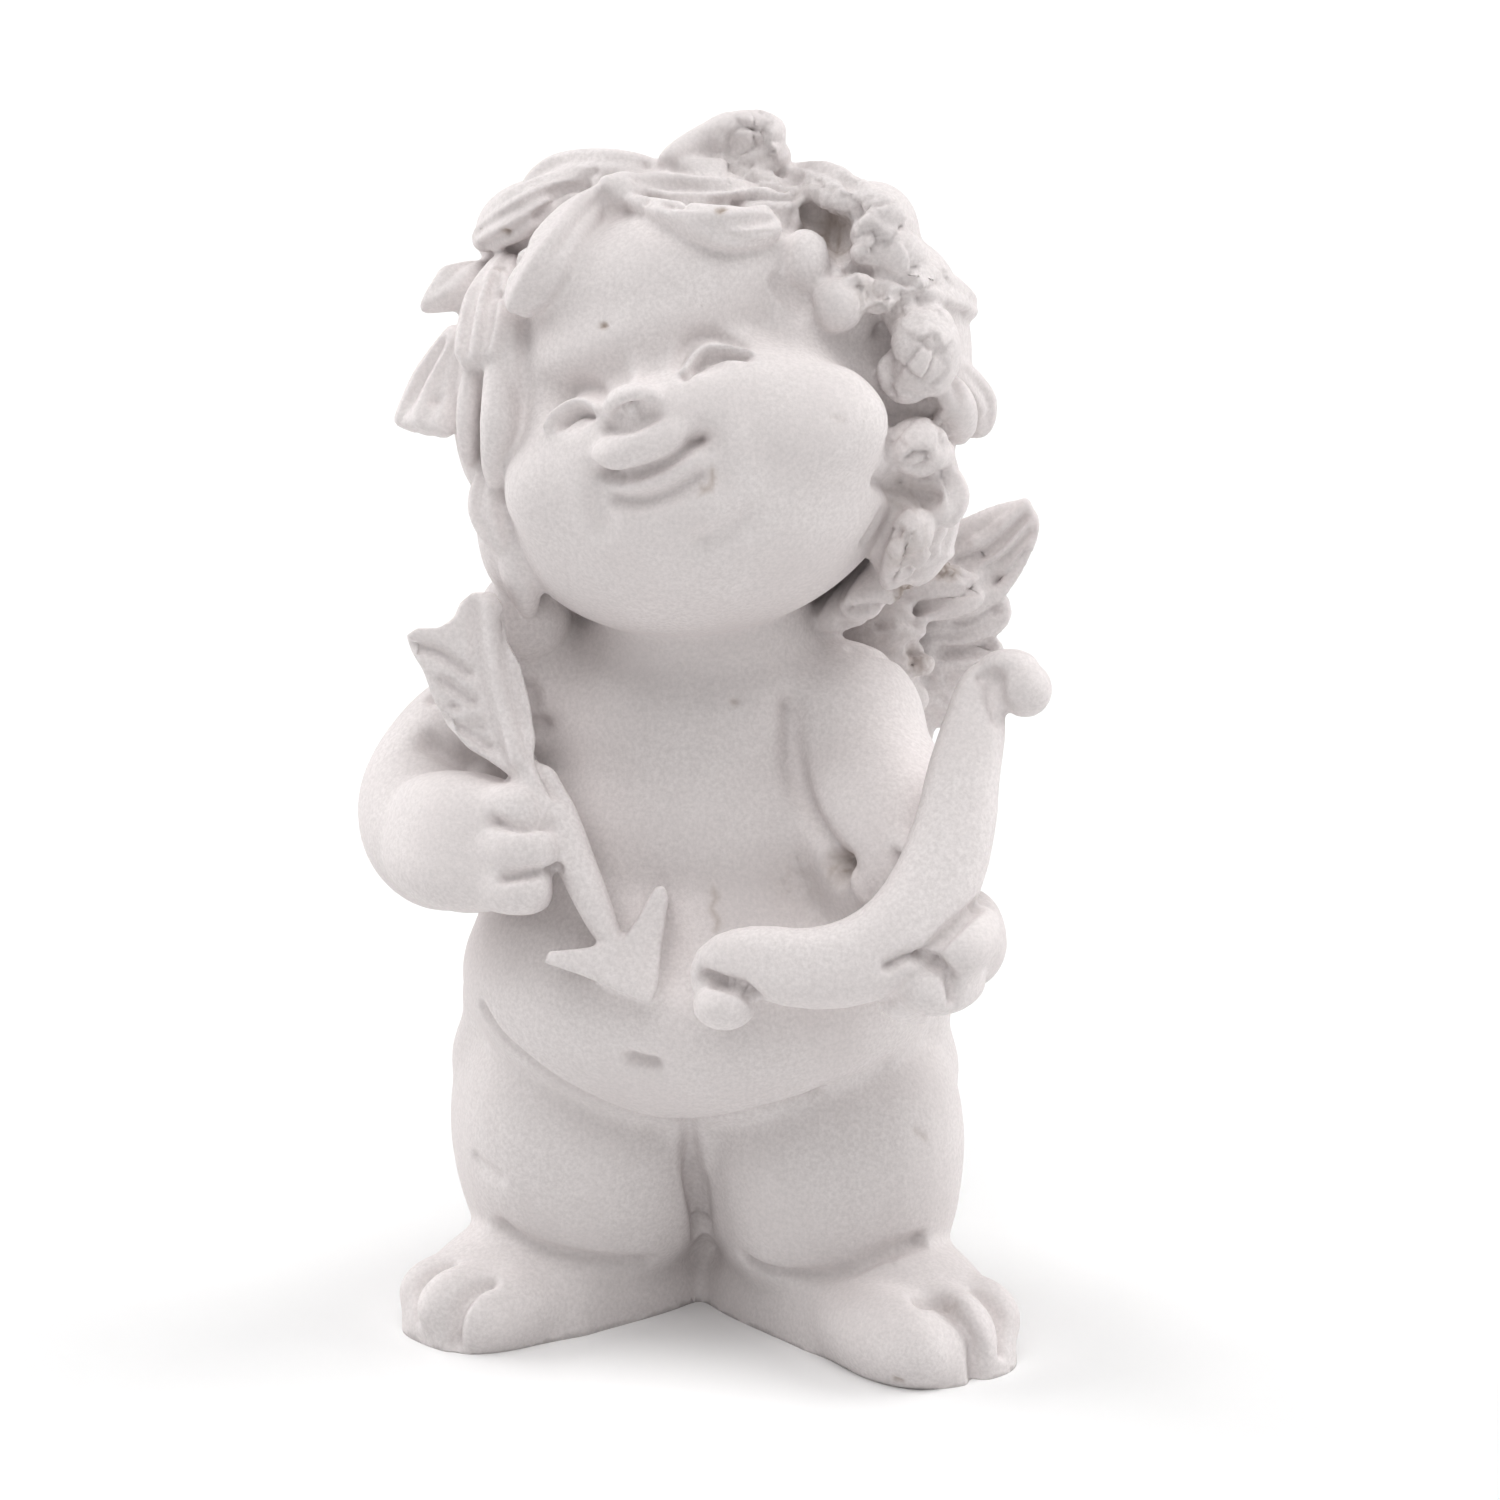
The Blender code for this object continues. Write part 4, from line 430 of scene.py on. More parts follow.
PALM_BLUNTNESS = 3.0
FINGER_BLUNTNESS = 3.0
FINGER_SQUARENESS = 2.5

# Right wing: feathers as points along each with half-widths; the coverts lie in front of them
WING_ROOT = ((13.5, 9.5, 59.5), (5.0, 4.0, 8.0))
FEATHERS = {
    "top feather": (((15.5, 11.5, 66.0), (23.0, 13.4, 69.4), (30.0, 15.0, 75.6)), (3.6, 4.9, 3.4)),
    "second feather": (((15.5, 11.2, 65.0), (22.0, 13.0, 65.2), (28.0, 14.0, 66.0)), (3.4, 3.9, 3.0)),
    "third feather": (((15.5, 10.8, 62.8), (22.0, 12.6, 61.6), (27.4, 13.6, 61.2)), (3.2, 3.7, 2.8)),
    "fourth feather": (((15.5, 10.4, 61.0), (20.0, 12.0, 58.0), (24.0, 13.0, 55.0)), (3.2, 3.4, 2.6)),
    "fifth feather": (((14.5, 10.0, 60.6), (17.4, 11.0, 56.8), (19.4, 11.6, 51.6)), (3.0, 3.2, 2.5)),
    "upper covert": (((15.6, 8.6, 67.4), (20.6, 9.8, 68.4), (25.6, 11.4, 68.0)), (2.4, 3.0, 2.5)),
    "middle covert": (((12.6, 6.8, 64.8), (16.8, 7.4, 65.8), (20.6, 8.8, 65.8)), (2.0, 2.5, 2.1)),
    "lower covert": (((12.6, 6.8, 63.2), (17.0, 7.6, 62.4), (21.0, 9.0, 61.4)), (2.0, 2.4, 2.0)),
    "last covert": (((13.4, 6.8, 61.4), (17.0, 8.2, 59.6), (20.0, 9.6, 56.8)), (2.0, 2.4, 2.0)),
}
FEATHER_HALF_THICKNESS = 1.6
FEATHER_RIDGES = 4
FEATHER_BLUNTNESS = 2.8
# Left wing, small and plain, out of sight from the front: root, how far it is swept back in degrees,
# height of the first feather over the root, the step down to the next, then the rise of each feather
# in degrees and its length
LEFT_WING_ROOT = Vector((-10.5, 10.0, 59.0))
LEFT_WING_ROOT_SIZES = (4.5, 4.5, 7.5)
LEFT_WING_LEAN = 62.0
LEFT_WING_TOP = 5.0
LEFT_WING_STEP = 2.6
LEFT_WING_FEATHERS = ((44, 15.0), (28, 12.5), (10, 11.5), (-6, 10.5), (-24, 10.0), (-44, 9.0))
LEFT_FEATHER_BLUNTNESS = 2.4
FEATHER_HALF_WIDTH = 3.9
# Shares of that half-width from root to tip, then where a feather bends, how far it sags there and
# how far its tip rises, as shares of its length
FEATHER_WIDTHS = (0.9, 1.0, 0.8)
FEATHER_BEND = 0.55
FEATHER_SAG = 0.06
FEATHER_TIP_RISE = 0.05
# Each feather's covert: its share of the feather, and how far root, bend and tip lie in front of it
COVERT_SHARE = 0.62
COVERT_LIFTS = (1.0, 1.8, 1.6)

# Carved creases: places across and up from the ground point as the eye sees them, then depth and
# half-width
CREASES = {
    "belly": (((-22.2, 27.4), (-20.0, 24.2), (-18.0, 22.5), (-15.0, 20.3), (-12.0, 18.7), (-8.0, 17.1),
               (-4.0, 16.3), (0.0, 16.4), (4.0, 17.1), (8.0, 18.1), (11.0, 19.0)), 0.9, 0.6),
    "belly right end": (((11.0, 19.0), (14.0, 20.2), (17.0, 21.6)), 0.4, 1.2),
    "legs": (((-2.3, 16.2), (-1.8, 12.5), (-1.2, 9.0), (-0.8, 5.5)), 2.0, 0.8),
    "left knee": (((-22.8, 12.5), (-21.6, 11.4), (-20.6, 10.7)), 0.5, 0.7),
    "left ankle": (((-20.4, 6.0), (-18.0, 4.3), (-16.0, 3.5), (-13.0, 2.8), (-9.0, 2.4), (-6.0, 2.4)), 1.0,
                   0.8),
    "right ankle": (((3.4, 2.8), (5.0, 1.8), (8.0, 1.1), (11.0, 1.1), (14.0, 1.8), (16.0, 2.8), (18.0, 3.6),
                     (20.6, 4.6)), 1.1, 0.7),
    "navel": (((-7.7, 22.3), (-6.6, 22.0), (-5.5, 21.8)), 1.3, 0.8),
    "left armpit": (((-17.6, 58.6), (-16.6, 55.0), (-16.0, 52.0), (-15.0, 49.0)), 1.6, 1.1),
    "right armpit": (((8.0, 57.0), (8.1, 53.0), (8.6, 49.5), (9.8, 46.3), (11.4, 43.8), (13.2, 41.6)), 1.5,
                     1.1),
    "armpit hole": (((12.0, 41.6), (13.0, 41.2)), 2.4, 0.9),
    "armpit hole low": (((12.4, 40.0), (13.0, 39.9)), 1.8, 0.6),
    "armpit web": (((13.9, 40.6), (14.4, 39.2), (15.3, 37.8)), -0.6, 0.5),
    "left elbow": (((-27.4, 53.6), (-25.2, 52.4), (-23.4, 51.6)), 1.6, 1.2),
    "finger crease 1": (((-21.2, 45.7), (-18.6, 45.1), (-15.9, 45.2)), 1.0, 0.5),
    "top feather shaft": (((22.6, 71.8), (26.0, 73.0), (29.0, 75.2), (31.0, 76.8)), -0.5, 0.6),
    "top feather line": (((24.6, 71.2), (27.8, 72.3), (31.0, 75.4)), 0.7, 0.5),
    "top feather line 2": (((25.0, 69.9), (28.4, 70.8), (31.6, 73.8)), 0.7, 0.5),
    "top feather line 3": (((25.8, 68.8), (28.8, 69.4), (31.2, 71.8)), 0.7, 0.5),
    "under the top feather": (((20.8, 66.6), (24.6, 67.6), (28.4, 69.4)), 1.1, 0.6),
    "second feather line": (((20.4, 64.6), (24.4, 65.0), (28.2, 66.4)), 0.6, 0.5),
    "under the second feather": (((20.0, 62.2), (23.6, 62.2), (27.6, 62.8)), 1.1, 0.6),
    "third feather line": (((20.6, 59.6), (23.4, 59.6), (26.6, 59.8)), 0.6, 0.5),
    "under the upper covert": (((13.4, 66.6), (17.0, 66.4), (20.8, 66.4)), 1.0, 0.5),
    "middle covert line": (((13.2, 65.0), (16.8, 64.8), (20.2, 65.2)), 0.5, 0.5),
    "lower covert line": (((14.0, 62.6), (17.0, 62.0), (20.4, 61.0)), 0.6, 0.5),
    "round finger edge": (((17.6, 31.4), (19.6, 32.3), (22.0, 31.9), (23.7, 30.2), (24.0, 28.0)), 1.3, 0.6),
    "long finger edge": (((26.2, 37.4), (24.2, 35.4), (22.4, 33.8), (21.0, 32.4)), 1.0, 0.6),
    "finger crease 2": (((-20.2, 40.1), (-17.5, 40.5), (-15.0, 41.1)), 1.0, 0.5),
}

# How finely a carved path is followed, and how far its groove reaches in half-widths
CARVED_STATIONS = 25
CARVED_REACH = 2.6

# Broken and crumbly places: across and up as the eye sees them, reach, height of the crumbs, size
# of the crumbs and the share of darkening in them, dirt with painted shade in the holes, gaps and
# cracks; first those of the head, then those of the body
HEAD_CRUMBS = {
    "tuft front": ((4.6, 25.8), 4.0, 0.8, 2.4, 0.08),
    "tuft top": ((5.0, 28.4), 3.6, 0.5, 2.4, 0.0),
    "crown right": ((13.0, 22.6), 5.0, 0.75, 3.0, 0.04),
    "crown right end": ((17.6, 19.4), 4.4, 0.75, 2.8, 0.04),
    "beside the fringe": ((10.6, 22.0), 2.6, 0.60, 1.9, 0.15),
    # painted shade with some dirt darkens the hole
    "hole": ((12.2, 18.4), 3.0, 0.40, 1.6, 0.60),
    "wall": ((15.8, 16.4), 3.4, 0.60, 2.4, 0.06),
    "side point": ((21.6, 13.4), 4.8, 0.6, 2.8, 0.03),
    "ledge": ((15.8, 12.6), 2.8, 0.55, 1.6, 0.20),
    "ledge end": ((18.4, 11.4), 2.6, 0.50, 1.6, 0.12),
    "rough face": ((20.2, 6.4), 4.6, 0.85, 2.5, 0.08),
    "lobe foot": ((22.0, 1.6), 2.8, 0.45, 1.8, 0.15),
    "wedge": ((21.0, -2.2), 4.0, 0.9, 2.8, 0.05),
    "below the wedge": ((19.6, -6.4), 3.2, 0.50, 1.8, 0.20),
    "nape right": ((19.4, -11.6), 4.0, 0.60, 2.0, 0.22),
    "temple left": ((-18.6, 15.0), 1.4, 0.40, 0.9, 0.10),
}
BODY_CRUMBS = {
    # painted shade with some dirt darkens the armpit hole
    "armpit": ((12.6, 41.0), 2.6, 0.45, 0.9, 0.55),
    "below the armpit": ((8.8, 39.6), 4.2, 0.16, 0.8, 0.10),
    "ankle": ((17.6, 3.2), 2.0, 0.15, 0.9, 0.04),
    "toe gap": ((23.6, -1.6), 2.2, 0.25, 0.8, 0.15),
    "coverts": ((17.6, 64.6), 5.0, 0.12, 1.3, 0.10),
    # painted shade darkens the gaps between the feathers
    "upper gap": ((23.2, 70.6), 2.0, 0.40, 0.9, 0.80),
    "lower gap": ((19.2, 68.2), 1.8, 0.40, 0.9, 0.80),
    "feather gap": ((20.6, 61.4), 2.2, 0.40, 0.9, 0.45),
}
# How the crumbs lie: the seed of their noise, how fast they fade outwards, how they differ in height
# and tilt, how high they step, how deep and how narrow the cracks between them are, and the share of
# the darkening, dirt with painted shade, that lies on their flats; the cracks get all of it
CRUMB_SEED = 5
CRUMB_FADE = 1.6
CRUMB_HEIGHT_NOISE = 7.3
CRUMB_TILT_NOISE = 5.1
CRUMB_STEP = 1.3
CRACK_DEPTH = 0.3
CRACK_NARROWNESS = 5.0
FLAT_DARKENING = 0.4

# Small pits, scratches and lint: places as the strokes, depth, half-width and darkening: dirt on the lint
# and the scratches, painted shade with dirt in the pits
HEAD_MARKS = {
    "pit in the fringe": (((2.1, 20.5), (2.4, 20.7)), 0.4, 0.35, 0.9),
    "pit in the forehead": (((-8.9, 9.8), (-8.7, 9.8)), 0.3, 0.3, 0.8),
    "pit in the crown": (((-18.1, 18.5), (-17.9, 18.3)), 0.4, 0.35, 0.8),
    "lint by the mouth": (((1.5, -3.9), (1.5, -4.9), (1.1, -5.6), (0.5, -5.8)), -0.05, 0.30, 0.45),
    "cheek scratch": (((12.6, 1.2), (13.6, 0.9)), 0.15, 0.3, 0.1),
}
BODY_MARKS = {
    "lint on the belly": (((0.1, 39.4), (0.7, 38.2), (0.2, 37.0), (0.9, 35.8), (0.6, 34.9)), -0.05, 0.30,
                          0.35),
    "thigh scratch": (((20.2, 15.4), (21.2, 14.5)), 0.1, 0.3, 0.2),
    "chest pit": (((2.4, 57.4), (2.6, 57.4)), 0.3, 0.35, 0.3),
    "foot scratch": (((18.3, -9.0), (18.8, -9.2)), 0.2, 0.3, 0.5),
}


class CherubSizes(PropertyGroup):
    """Sizes of the casting."""
    height: FloatProperty(name="Height", description="Height of the figure", default=0.120,
                          subtype="DISTANCE", unit="LENGTH")
    grid: FloatProperty(name="Grid", description="Grid of the fused casting, in units", default=0.33)
    form_grid: FloatProperty(name="Form grid", description="Grid of the softened forms, in units",
                             default=0.60)
    triangles: IntProperty(name="Triangles", description="Most triangles of the casting", default=196000)
    body_softening: FloatProperty(name="Body softening", description="Softening of the body, in units",
                                  default=2.3)
    foot_softening: FloatProperty(name="Foot softening", description="Softening of the feet, in units",
                                  default=1.0)
    hand_softening: FloatProperty(name="Hand softening", description="Softening of the hands, in units",
                                  default=1.0)
    head_softening: FloatProperty(name="Head softening", description="Softening of the head, in units",
                                  default=1.6)
    cheek_softening: FloatProperty(name="Cheek softening", default=1.4,
                                   description="Softening of cheeks and chin, in units")
    face_softening: FloatProperty(name="Face softening", description="Softening of nose and lips, in units",
                                  default=0.5)
    hair_softening: FloatProperty(name="Hair softening", description="Softening under the locks, in units",
                                  default=1.2)
    casting_softening: FloatProperty(name="Casting softening", default=0.24,
                                     description="Softening of the casting, in units")


class CherubPlaster(PropertyGroup):
    """Colour and grain of the plaster."""
    colour: FloatVectorProperty(name="Colour", description="Colour of the plaster", subtype="COLOR", size=3,
                                default=(0.81, 0.775, 0.77), min=0.0, max=1.0)
    shade: FloatVectorProperty(name="Shade", description="Colour of its slightly darker clouds",
                               subtype="COLOR", size=3, default=(0.77, 0.73, 0.725), min=0.0, max=1.0)
    speck: FloatVectorProperty(name="Speck", description="Colour of its fine specks", subtype="COLOR",
                               size=3, default=(0.715, 0.68, 0.675), min=0.0, max=1.0)
    # Painted shade with some dirt: this colour darkens holes, gaps between feathers, pits and cracks
    hollow: FloatVectorProperty(name="Hollow", description="Colour of dirt in deep hollows", subtype="COLOR",
                                size=3, default=(0.36, 0.29, 0.24), min=0.0, max=1.0)
    roughness: FloatProperty(name="Roughness", description="Roughness of the plaster", default=0.85,
                             min=0.0, max=1.0, subtype="FACTOR")
    gloss: FloatProperty(name="Gloss", description="Strength of the faint shine", default=0.3,
                         min=0.0, max=1.0, subtype="FACTOR")
    cloud_scale: FloatProperty(name="Cloud scale", description="Clouds to a metre", default=70.0)
    speck_scale: FloatProperty(name="Speck scale", description="Specks to a metre", default=2600.0)
    grain_scale: FloatProperty(name="Grain scale", description="Grains to a metre", default=5200.0)
    pore_scale: FloatProperty(name="Pore scale", description="Cells to a metre, each with one pore",
                              default=420.0)
    pore_width: FloatProperty(name="Pore width", description="Half-width of a pore, as a share of its cell",
                              default=0.10)
    pore_strength: FloatProperty(name="Pore strength", description="Strength of the pores", default=0.35,
                                 min=0.0, max=1.0, subtype="FACTOR")
    grain_strength: FloatProperty(name="Grain strength", description="Strength of the grain", default=0.6,
                                  min=0.0, max=1.0, subtype="FACTOR")
    grain_height: FloatProperty(name="Grain height", description="Height of the grain", default=0.00003,
                                subtype="DISTANCE", unit="LENGTH")
    pore_height: FloatProperty(name="Pore depth", description="Depth of the pores", default=0.00012,
                               subtype="DISTANCE", unit="LENGTH")


class CherubStage(PropertyGroup):
    """Floor, light and camera."""
    floor_colour: FloatVectorProperty(name="Floor", description="Colour of the floor", subtype="COLOR",
                                      size=3, default=(0.86, 0.86, 0.86), min=0.0, max=1.0)
    floor_roughness: FloatProperty(name="Floor roughness", description="Roughness of the floor", default=0.9,
                                   min=0.0, max=1.0, subtype="FACTOR")
    floor_size: FloatProperty(name="Floor size", description="Side of the floor", default=8.0,
                              subtype="DISTANCE", unit="LENGTH")
    sky: FloatProperty(name="Sky", description="Strength of the light from all round", default=0.03)
    backdrop: FloatProperty(name="Backdrop", description="Brightness of the backdrop behind the floor",
                            default=1.0)
    top: FloatProperty(name="Top", description="Strength of the soft light above", default=1.55)
    front: FloatProperty(name="Front", description="Strength of the soft light in front", default=0.85)
    behind: FloatProperty(name="Behind", description="Strength of the soft lights behind each side",
                          default=2.1)
    glow: FloatProperty(name="Glow", description="Power of the soft panel before the chest, in watts",
                        default=0.08)
    top_height: FloatProperty(name="Top height", description="Height of the light above",
                              default=math.radians(80.0), subtype="ANGLE", unit="ROTATION")
    front_height: FloatProperty(name="Front height", description="Height of the light in front",
                                default=math.radians(50.0), subtype="ANGLE", unit="ROTATION")
    behind_height: FloatProperty(name="Behind height", description="Height of the lights behind each side",
                                 default=math.radians(24.0), subtype="ANGLE", unit="ROTATION")
    behind_bearing: FloatProperty(name="Behind bearing", description="Bearing of those lights",
                                  default=math.radians(112.0), subtype="ANGLE", unit="ROTATION")
    spread: FloatProperty(name="Spread", description="How wide each soft light is",
                          default=math.radians(60.0), subtype="ANGLE", unit="ROTATION")
    panel_size: FloatProperty(name="Panel size", description="Width of the soft panel", default=0.20,
                              subtype="DISTANCE", unit="LENGTH")
    panel_distance: FloatProperty(name="Panel distance", description="How far before the figure it stands",
                                  default=0.32, subtype="DISTANCE", unit="LENGTH")
    panel_height: FloatProperty(name="Panel height", description="Height of the panel", default=0.12,
                                subtype="DISTANCE", unit="LENGTH")
    panel_tilt: FloatProperty(name="Panel tilt", description="Tilt of the panel; upright at a right angle",
                              default=math.radians(80.0), subtype="ANGLE", unit="ROTATION")
    gamma: FloatProperty(name="Gamma", description="Gamma of the picture; lower deepens the shadows",
                         default=0.74)
    lens: FloatProperty(name="Lens", description="Focal length in millimetres", default=146.9)
    distance: FloatProperty(name="Distance", description="Distance of the camera, in units",
                            default=SIGHT_DISTANCE)


def smooth_path(points, samples):
    """Points of a smooth curve through the given points, evenly counted."""
    fixed = [np.array(p, float) for p in points]
    ends = [2 * fixed[0] - fixed[1]] + fixed + [2 * fixed[-1] - fixed[-2]]
    spans = len(fixed) - 1
    curve = []
    for share in np.linspace(0.0, 1.0, samples):
        place = min(share * spans, spans - 1e-9)
        i = int(place)
        t = place - i
        a, b, c, d = ends[i:i + 4]
        curve.append(0.5 * (2 * b + (c - a) * t + (2 * a - 5 * b + 4 * c - d) * t ** 2
                            + (3 * b - a - 3 * c + d) * t ** 3))
    return np.array(curve)


def new_object(name, bm):
    """A mesh object made from a bmesh."""
    mesh = bpy.data.meshes.new(name)
    bm.to_mesh(mesh)
    bm.free()
    made = bpy.data.objects.new(name, mesh)
    bpy.context.scene.collection.objects.link(made)
    return made


def ball(name, centre, half_sizes, pose=Matrix.Identity(4)):
    """An ellipsoid, turned by a pose about its centre."""
    bm = bmesh.new()
    bmesh.ops.create_uvsphere(bm, u_segments=BALL_SEGMENTS, v_segments=BALL_RINGS, radius=1.0)
    bm.transform(Matrix.Translation(Vector(centre)) @ pose @ Matrix.Diagonal((*half_sizes, 1.0)))
    return new_object(name, bm)


def limb(name, points, half_widths, half_thicknesses=None, outward=None, blunt=2.0, square=2.0, strands=0):
    """A rounded limb swept along a smooth path: a sphere whose poles become the limb's ends.

    Blunt fills out the ends, square fills out the section, and strands groove its face.
    """
    half_thicknesses = half_thicknesses or half_widths
    path = smooth_path(points, LIMB_STATIONS)
    tangents = np.gradient(path, axis=0)
    tangents /= np.linalg.norm(tangents, axis=1)[:, None]
    bm = bmesh.new()
    segments = STRANDED_SEGMENTS if strands else LIMB_SEGMENTS
    bmesh.ops.create_uvsphere(bm, u_segments=segments, v_segments=LIMB_RINGS, radius=1.0)
    wide_stations = np.linspace(0.0, 1.0, len(half_widths))
    thick_stations = np.linspace(0.0, 1.0, len(half_thicknesses))
    for vert in bm.verts:
        x, y, z = vert.co
        share = 0.5 * (z + 1.0)
        k = share * (LIMB_STATIONS - 1)
        i = min(int(k), LIMB_STATIONS - 2)
        centre = path[i] + (path[i + 1] - path[i]) * (k - i)
        tangent = tangents[i]
        away = np.array(outward(centre) if outward else LIMB_FACING, float)
        normal = away - tangent * np.dot(away, tangent)
        normal /= np.linalg.norm(normal)
        side = np.cross(tangent, normal)
        ring = math.hypot(x, y)
        swell = ring ** (2.0 / blunt) if ring > 0 else 0.0
        wide = np.interp(share, wide_stations, half_widths) * swell
        thick = np.interp(share, thick_stations, half_thicknesses) * swell
        if ring > 0:
            across = math.copysign(abs(x / ring) ** (2.0 / square), x)
            out = math.copysign(abs(y / ring) ** (2.0 / square), y)
            if strands > 1:
                rib = abs(math.sin(0.5 * math.pi * strands * (across + 1.0)))
                out *= 1.0 - STRAND_GROOVE * (1.0 - rib ** RIDGE_SHARPNESS)
            vert.co = Vector(centre + side * wide * across + normal * thick * out)
        else:
            vert.co = Vector(centre)
    bmesh.ops.recalc_face_normals(bm, faces=bm.faces)
    return new_object(name, bm)


def plate(name, outline, towards, thickness):
    """An outline as the eye sees it, thickened along the lines of sight."""
    bm = bmesh.new()
    low = [bm.verts.new((a, u, towards - 0.5 * thickness)) for a, u in outline]
    face = bm.faces.new(low)
    raised = bmesh.ops.extrude_face_region(bm, geom=[face])["geom"]
    verts = [part for part in raised if isinstance(part, bmesh.types.BMVert)]
    bmesh.ops.translate(bm, verts=verts, vec=(0.0, 0.0, thickness))
    for vert in bm.verts:
        vert.co = from_ground(*vert.co)
    bmesh.ops.recalc_face_normals(bm, faces=bm.faces)
    return new_object(name, bm)


def evaluated(made):
    """Replace an object's mesh with the result of its modifiers."""
    graph = bpy.context.evaluated_depsgraph_get()
    mesh = bpy.data.meshes.new_from_object(made.evaluated_get(graph))
    made.modifiers.clear()
    made.data = mesh
    return made


def fuse(name, pieces, softening, grid):
    """Fuse closed pieces into one skin on a grid, then soften it by the given length."""
    bm = bmesh.new()
    for piece in pieces:
        bm.from_mesh(piece.data)
        bpy.data.objects.remove(piece)
    made = new_object(name, bm)
    remesh = made.modifiers.new("Fuse", "REMESH")
    remesh.mode = "VOXEL"
    remesh.voxel_size = grid
    rounds = round(SMOOTHING_ROUNDS * (softening / grid) ** 2)
    if rounds:
        soften = made.modifiers.new("Soften", "SMOOTH")
        soften.factor = 0.5
        soften.iterations = rounds
    return evaluated(made)


def head_pose():
    """Where the head's own frame stands: centre, then turn, nod and tilt."""
    turn = Matrix.Rotation(math.radians(HEAD_TURN), 4, "Z")
    nod = Matrix.Rotation(math.radians(HEAD_NOD), 4, "X")
    tilt = Matrix.Rotation(math.radians(HEAD_TILT), 4, "Y")
    return Matrix.Translation(HEAD_CENTRE) @ turn @ nod @ tilt


def on_head(bearing, height, distance):
    """A point in the head's own frame from its bearing, height and distance."""
    b, h = math.radians(bearing), math.radians(height)
    return Vector((math.cos(h) * math.sin(b), -math.cos(h) * math.cos(b), math.sin(h))) * distance


def seen(across, up, towards, middle=HEAD_CENTRE):
    """A point on the line of sight through a place across and up from the head's centre."""
    place = middle + ACROSS * across + UPWARDS * up
    return place + (EYE - place).normalized() * towards


def from_ground(across, up, towards):
    """A point on the line of sight through a place across and up from the ground point."""
    return seen(across, up, towards, GROUND)


def draped(tree, across, up, rise):
    """A place that lies on a skin, or beside it, as the eye sees it, raised towards the eye."""
    start = seen(across, up, FAR)
    place = tree.ray_cast(start, (start - EYE).normalized())[0]
    if place is None:
        near = tree.find_nearest(seen(across, up, 0.0))[0]
        return seen(across, up, (near - HEAD_CENTRE).dot(TOWARDS) + rise)
    return place + (EYE - place).normalized() * rise


def sight_turn(roll):
    """The frame of someone looking from the front, rolled clockwise by an angle in degrees."""
    axes = Matrix((ACROSS, UPWARDS, TOWARDS)).transposed().to_4x4()
    return axes @ Matrix.Rotation(math.radians(roll), 4, "Z")


def skin_of(made):
    """A tree for finding places on an object's skin."""
    return BVHTree.FromObject(made, bpy.context.evaluated_depsgraph_get())


def body(sizes):
    """Torso and arms softened into one another, then the belly, the legs and the feet."""
    pieces = [ball(name, *numbers) for name, numbers in BODY_BALLS.items()]
    for name, (points, widths, thick, blunt, square) in LIMBS.items():
        pieces.append(limb(name, points, widths, thick, blunt=blunt, square=square))
    core = fuse("body core", pieces, sizes.body_softening, sizes.form_grid)
    legs = [limb(name, points, widths, thick, blunt=blunt, square=square)
            for name, (points, widths, thick, blunt, square) in LEGS.items()]
    return fuse("body", [core, ball("belly", *BELLY)] + legs + feet(), sizes.foot_softening, sizes.form_grid)


def feet():
    """Feet with their toes; the soles are cut flat with the whole casting later."""
    pieces = [limb(name, points, widths, thick, outward=lambda p: (0, 0, 1), blunt=FOOT_BLUNTNESS,
                   square=FOOT_SQUARENESS)
              for name, (points, widths, thick) in FEET.items()]
    for name, (points, size) in TOES.items():
        widths = [size * share for share in TOE_WIDTHS]
        thick = [size * share for share in TOE_THICKNESSES]
        pieces.append(limb(name, points, widths, thick, outward=lambda p: (0, 0, 1), blunt=TOE_BLUNTNESS))
    return pieces


def head(sizes):
    """Skull and face with the nose, lips, chin and cheeks, in place."""
    pieces = [ball(name, *numbers) for name, numbers in HEAD_BALLS.items()]
    pose = head_pose()
    for piece in pieces:
        piece.data.transform(pose)
    core = fuse("head core", pieces, sizes.head_softening, sizes.form_grid)
    for parts, softening, grid in ((CHEEKS, sizes.cheek_softening, sizes.form_grid),
                                   (FEATURES, sizes.face_softening, sizes.grid)):
        features = [ball(name, seen(*place), half_sizes, sight_turn(roll))
                    for name, (place, half_sizes, roll) in parts.items()]
        core = fuse("head", [core] + features, softening, grid)
    return core


def lock(name, tree, stations, half_widths, thickness, blunt, strands):
    """One lock of hair, its flat side turned partly away from the head and partly to the eye."""
    thick = [thickness * share for share in LOCK_THICKNESSES]

    def outward(point):
        return (Vector(point) - HEAD_CENTRE).normalized().lerp(TOWARDS, LOCK_FACING)

    return limb(name, [draped(tree, *station) for station in stations], half_widths, thick, outward=outward,
                blunt=blunt, strands=strands)


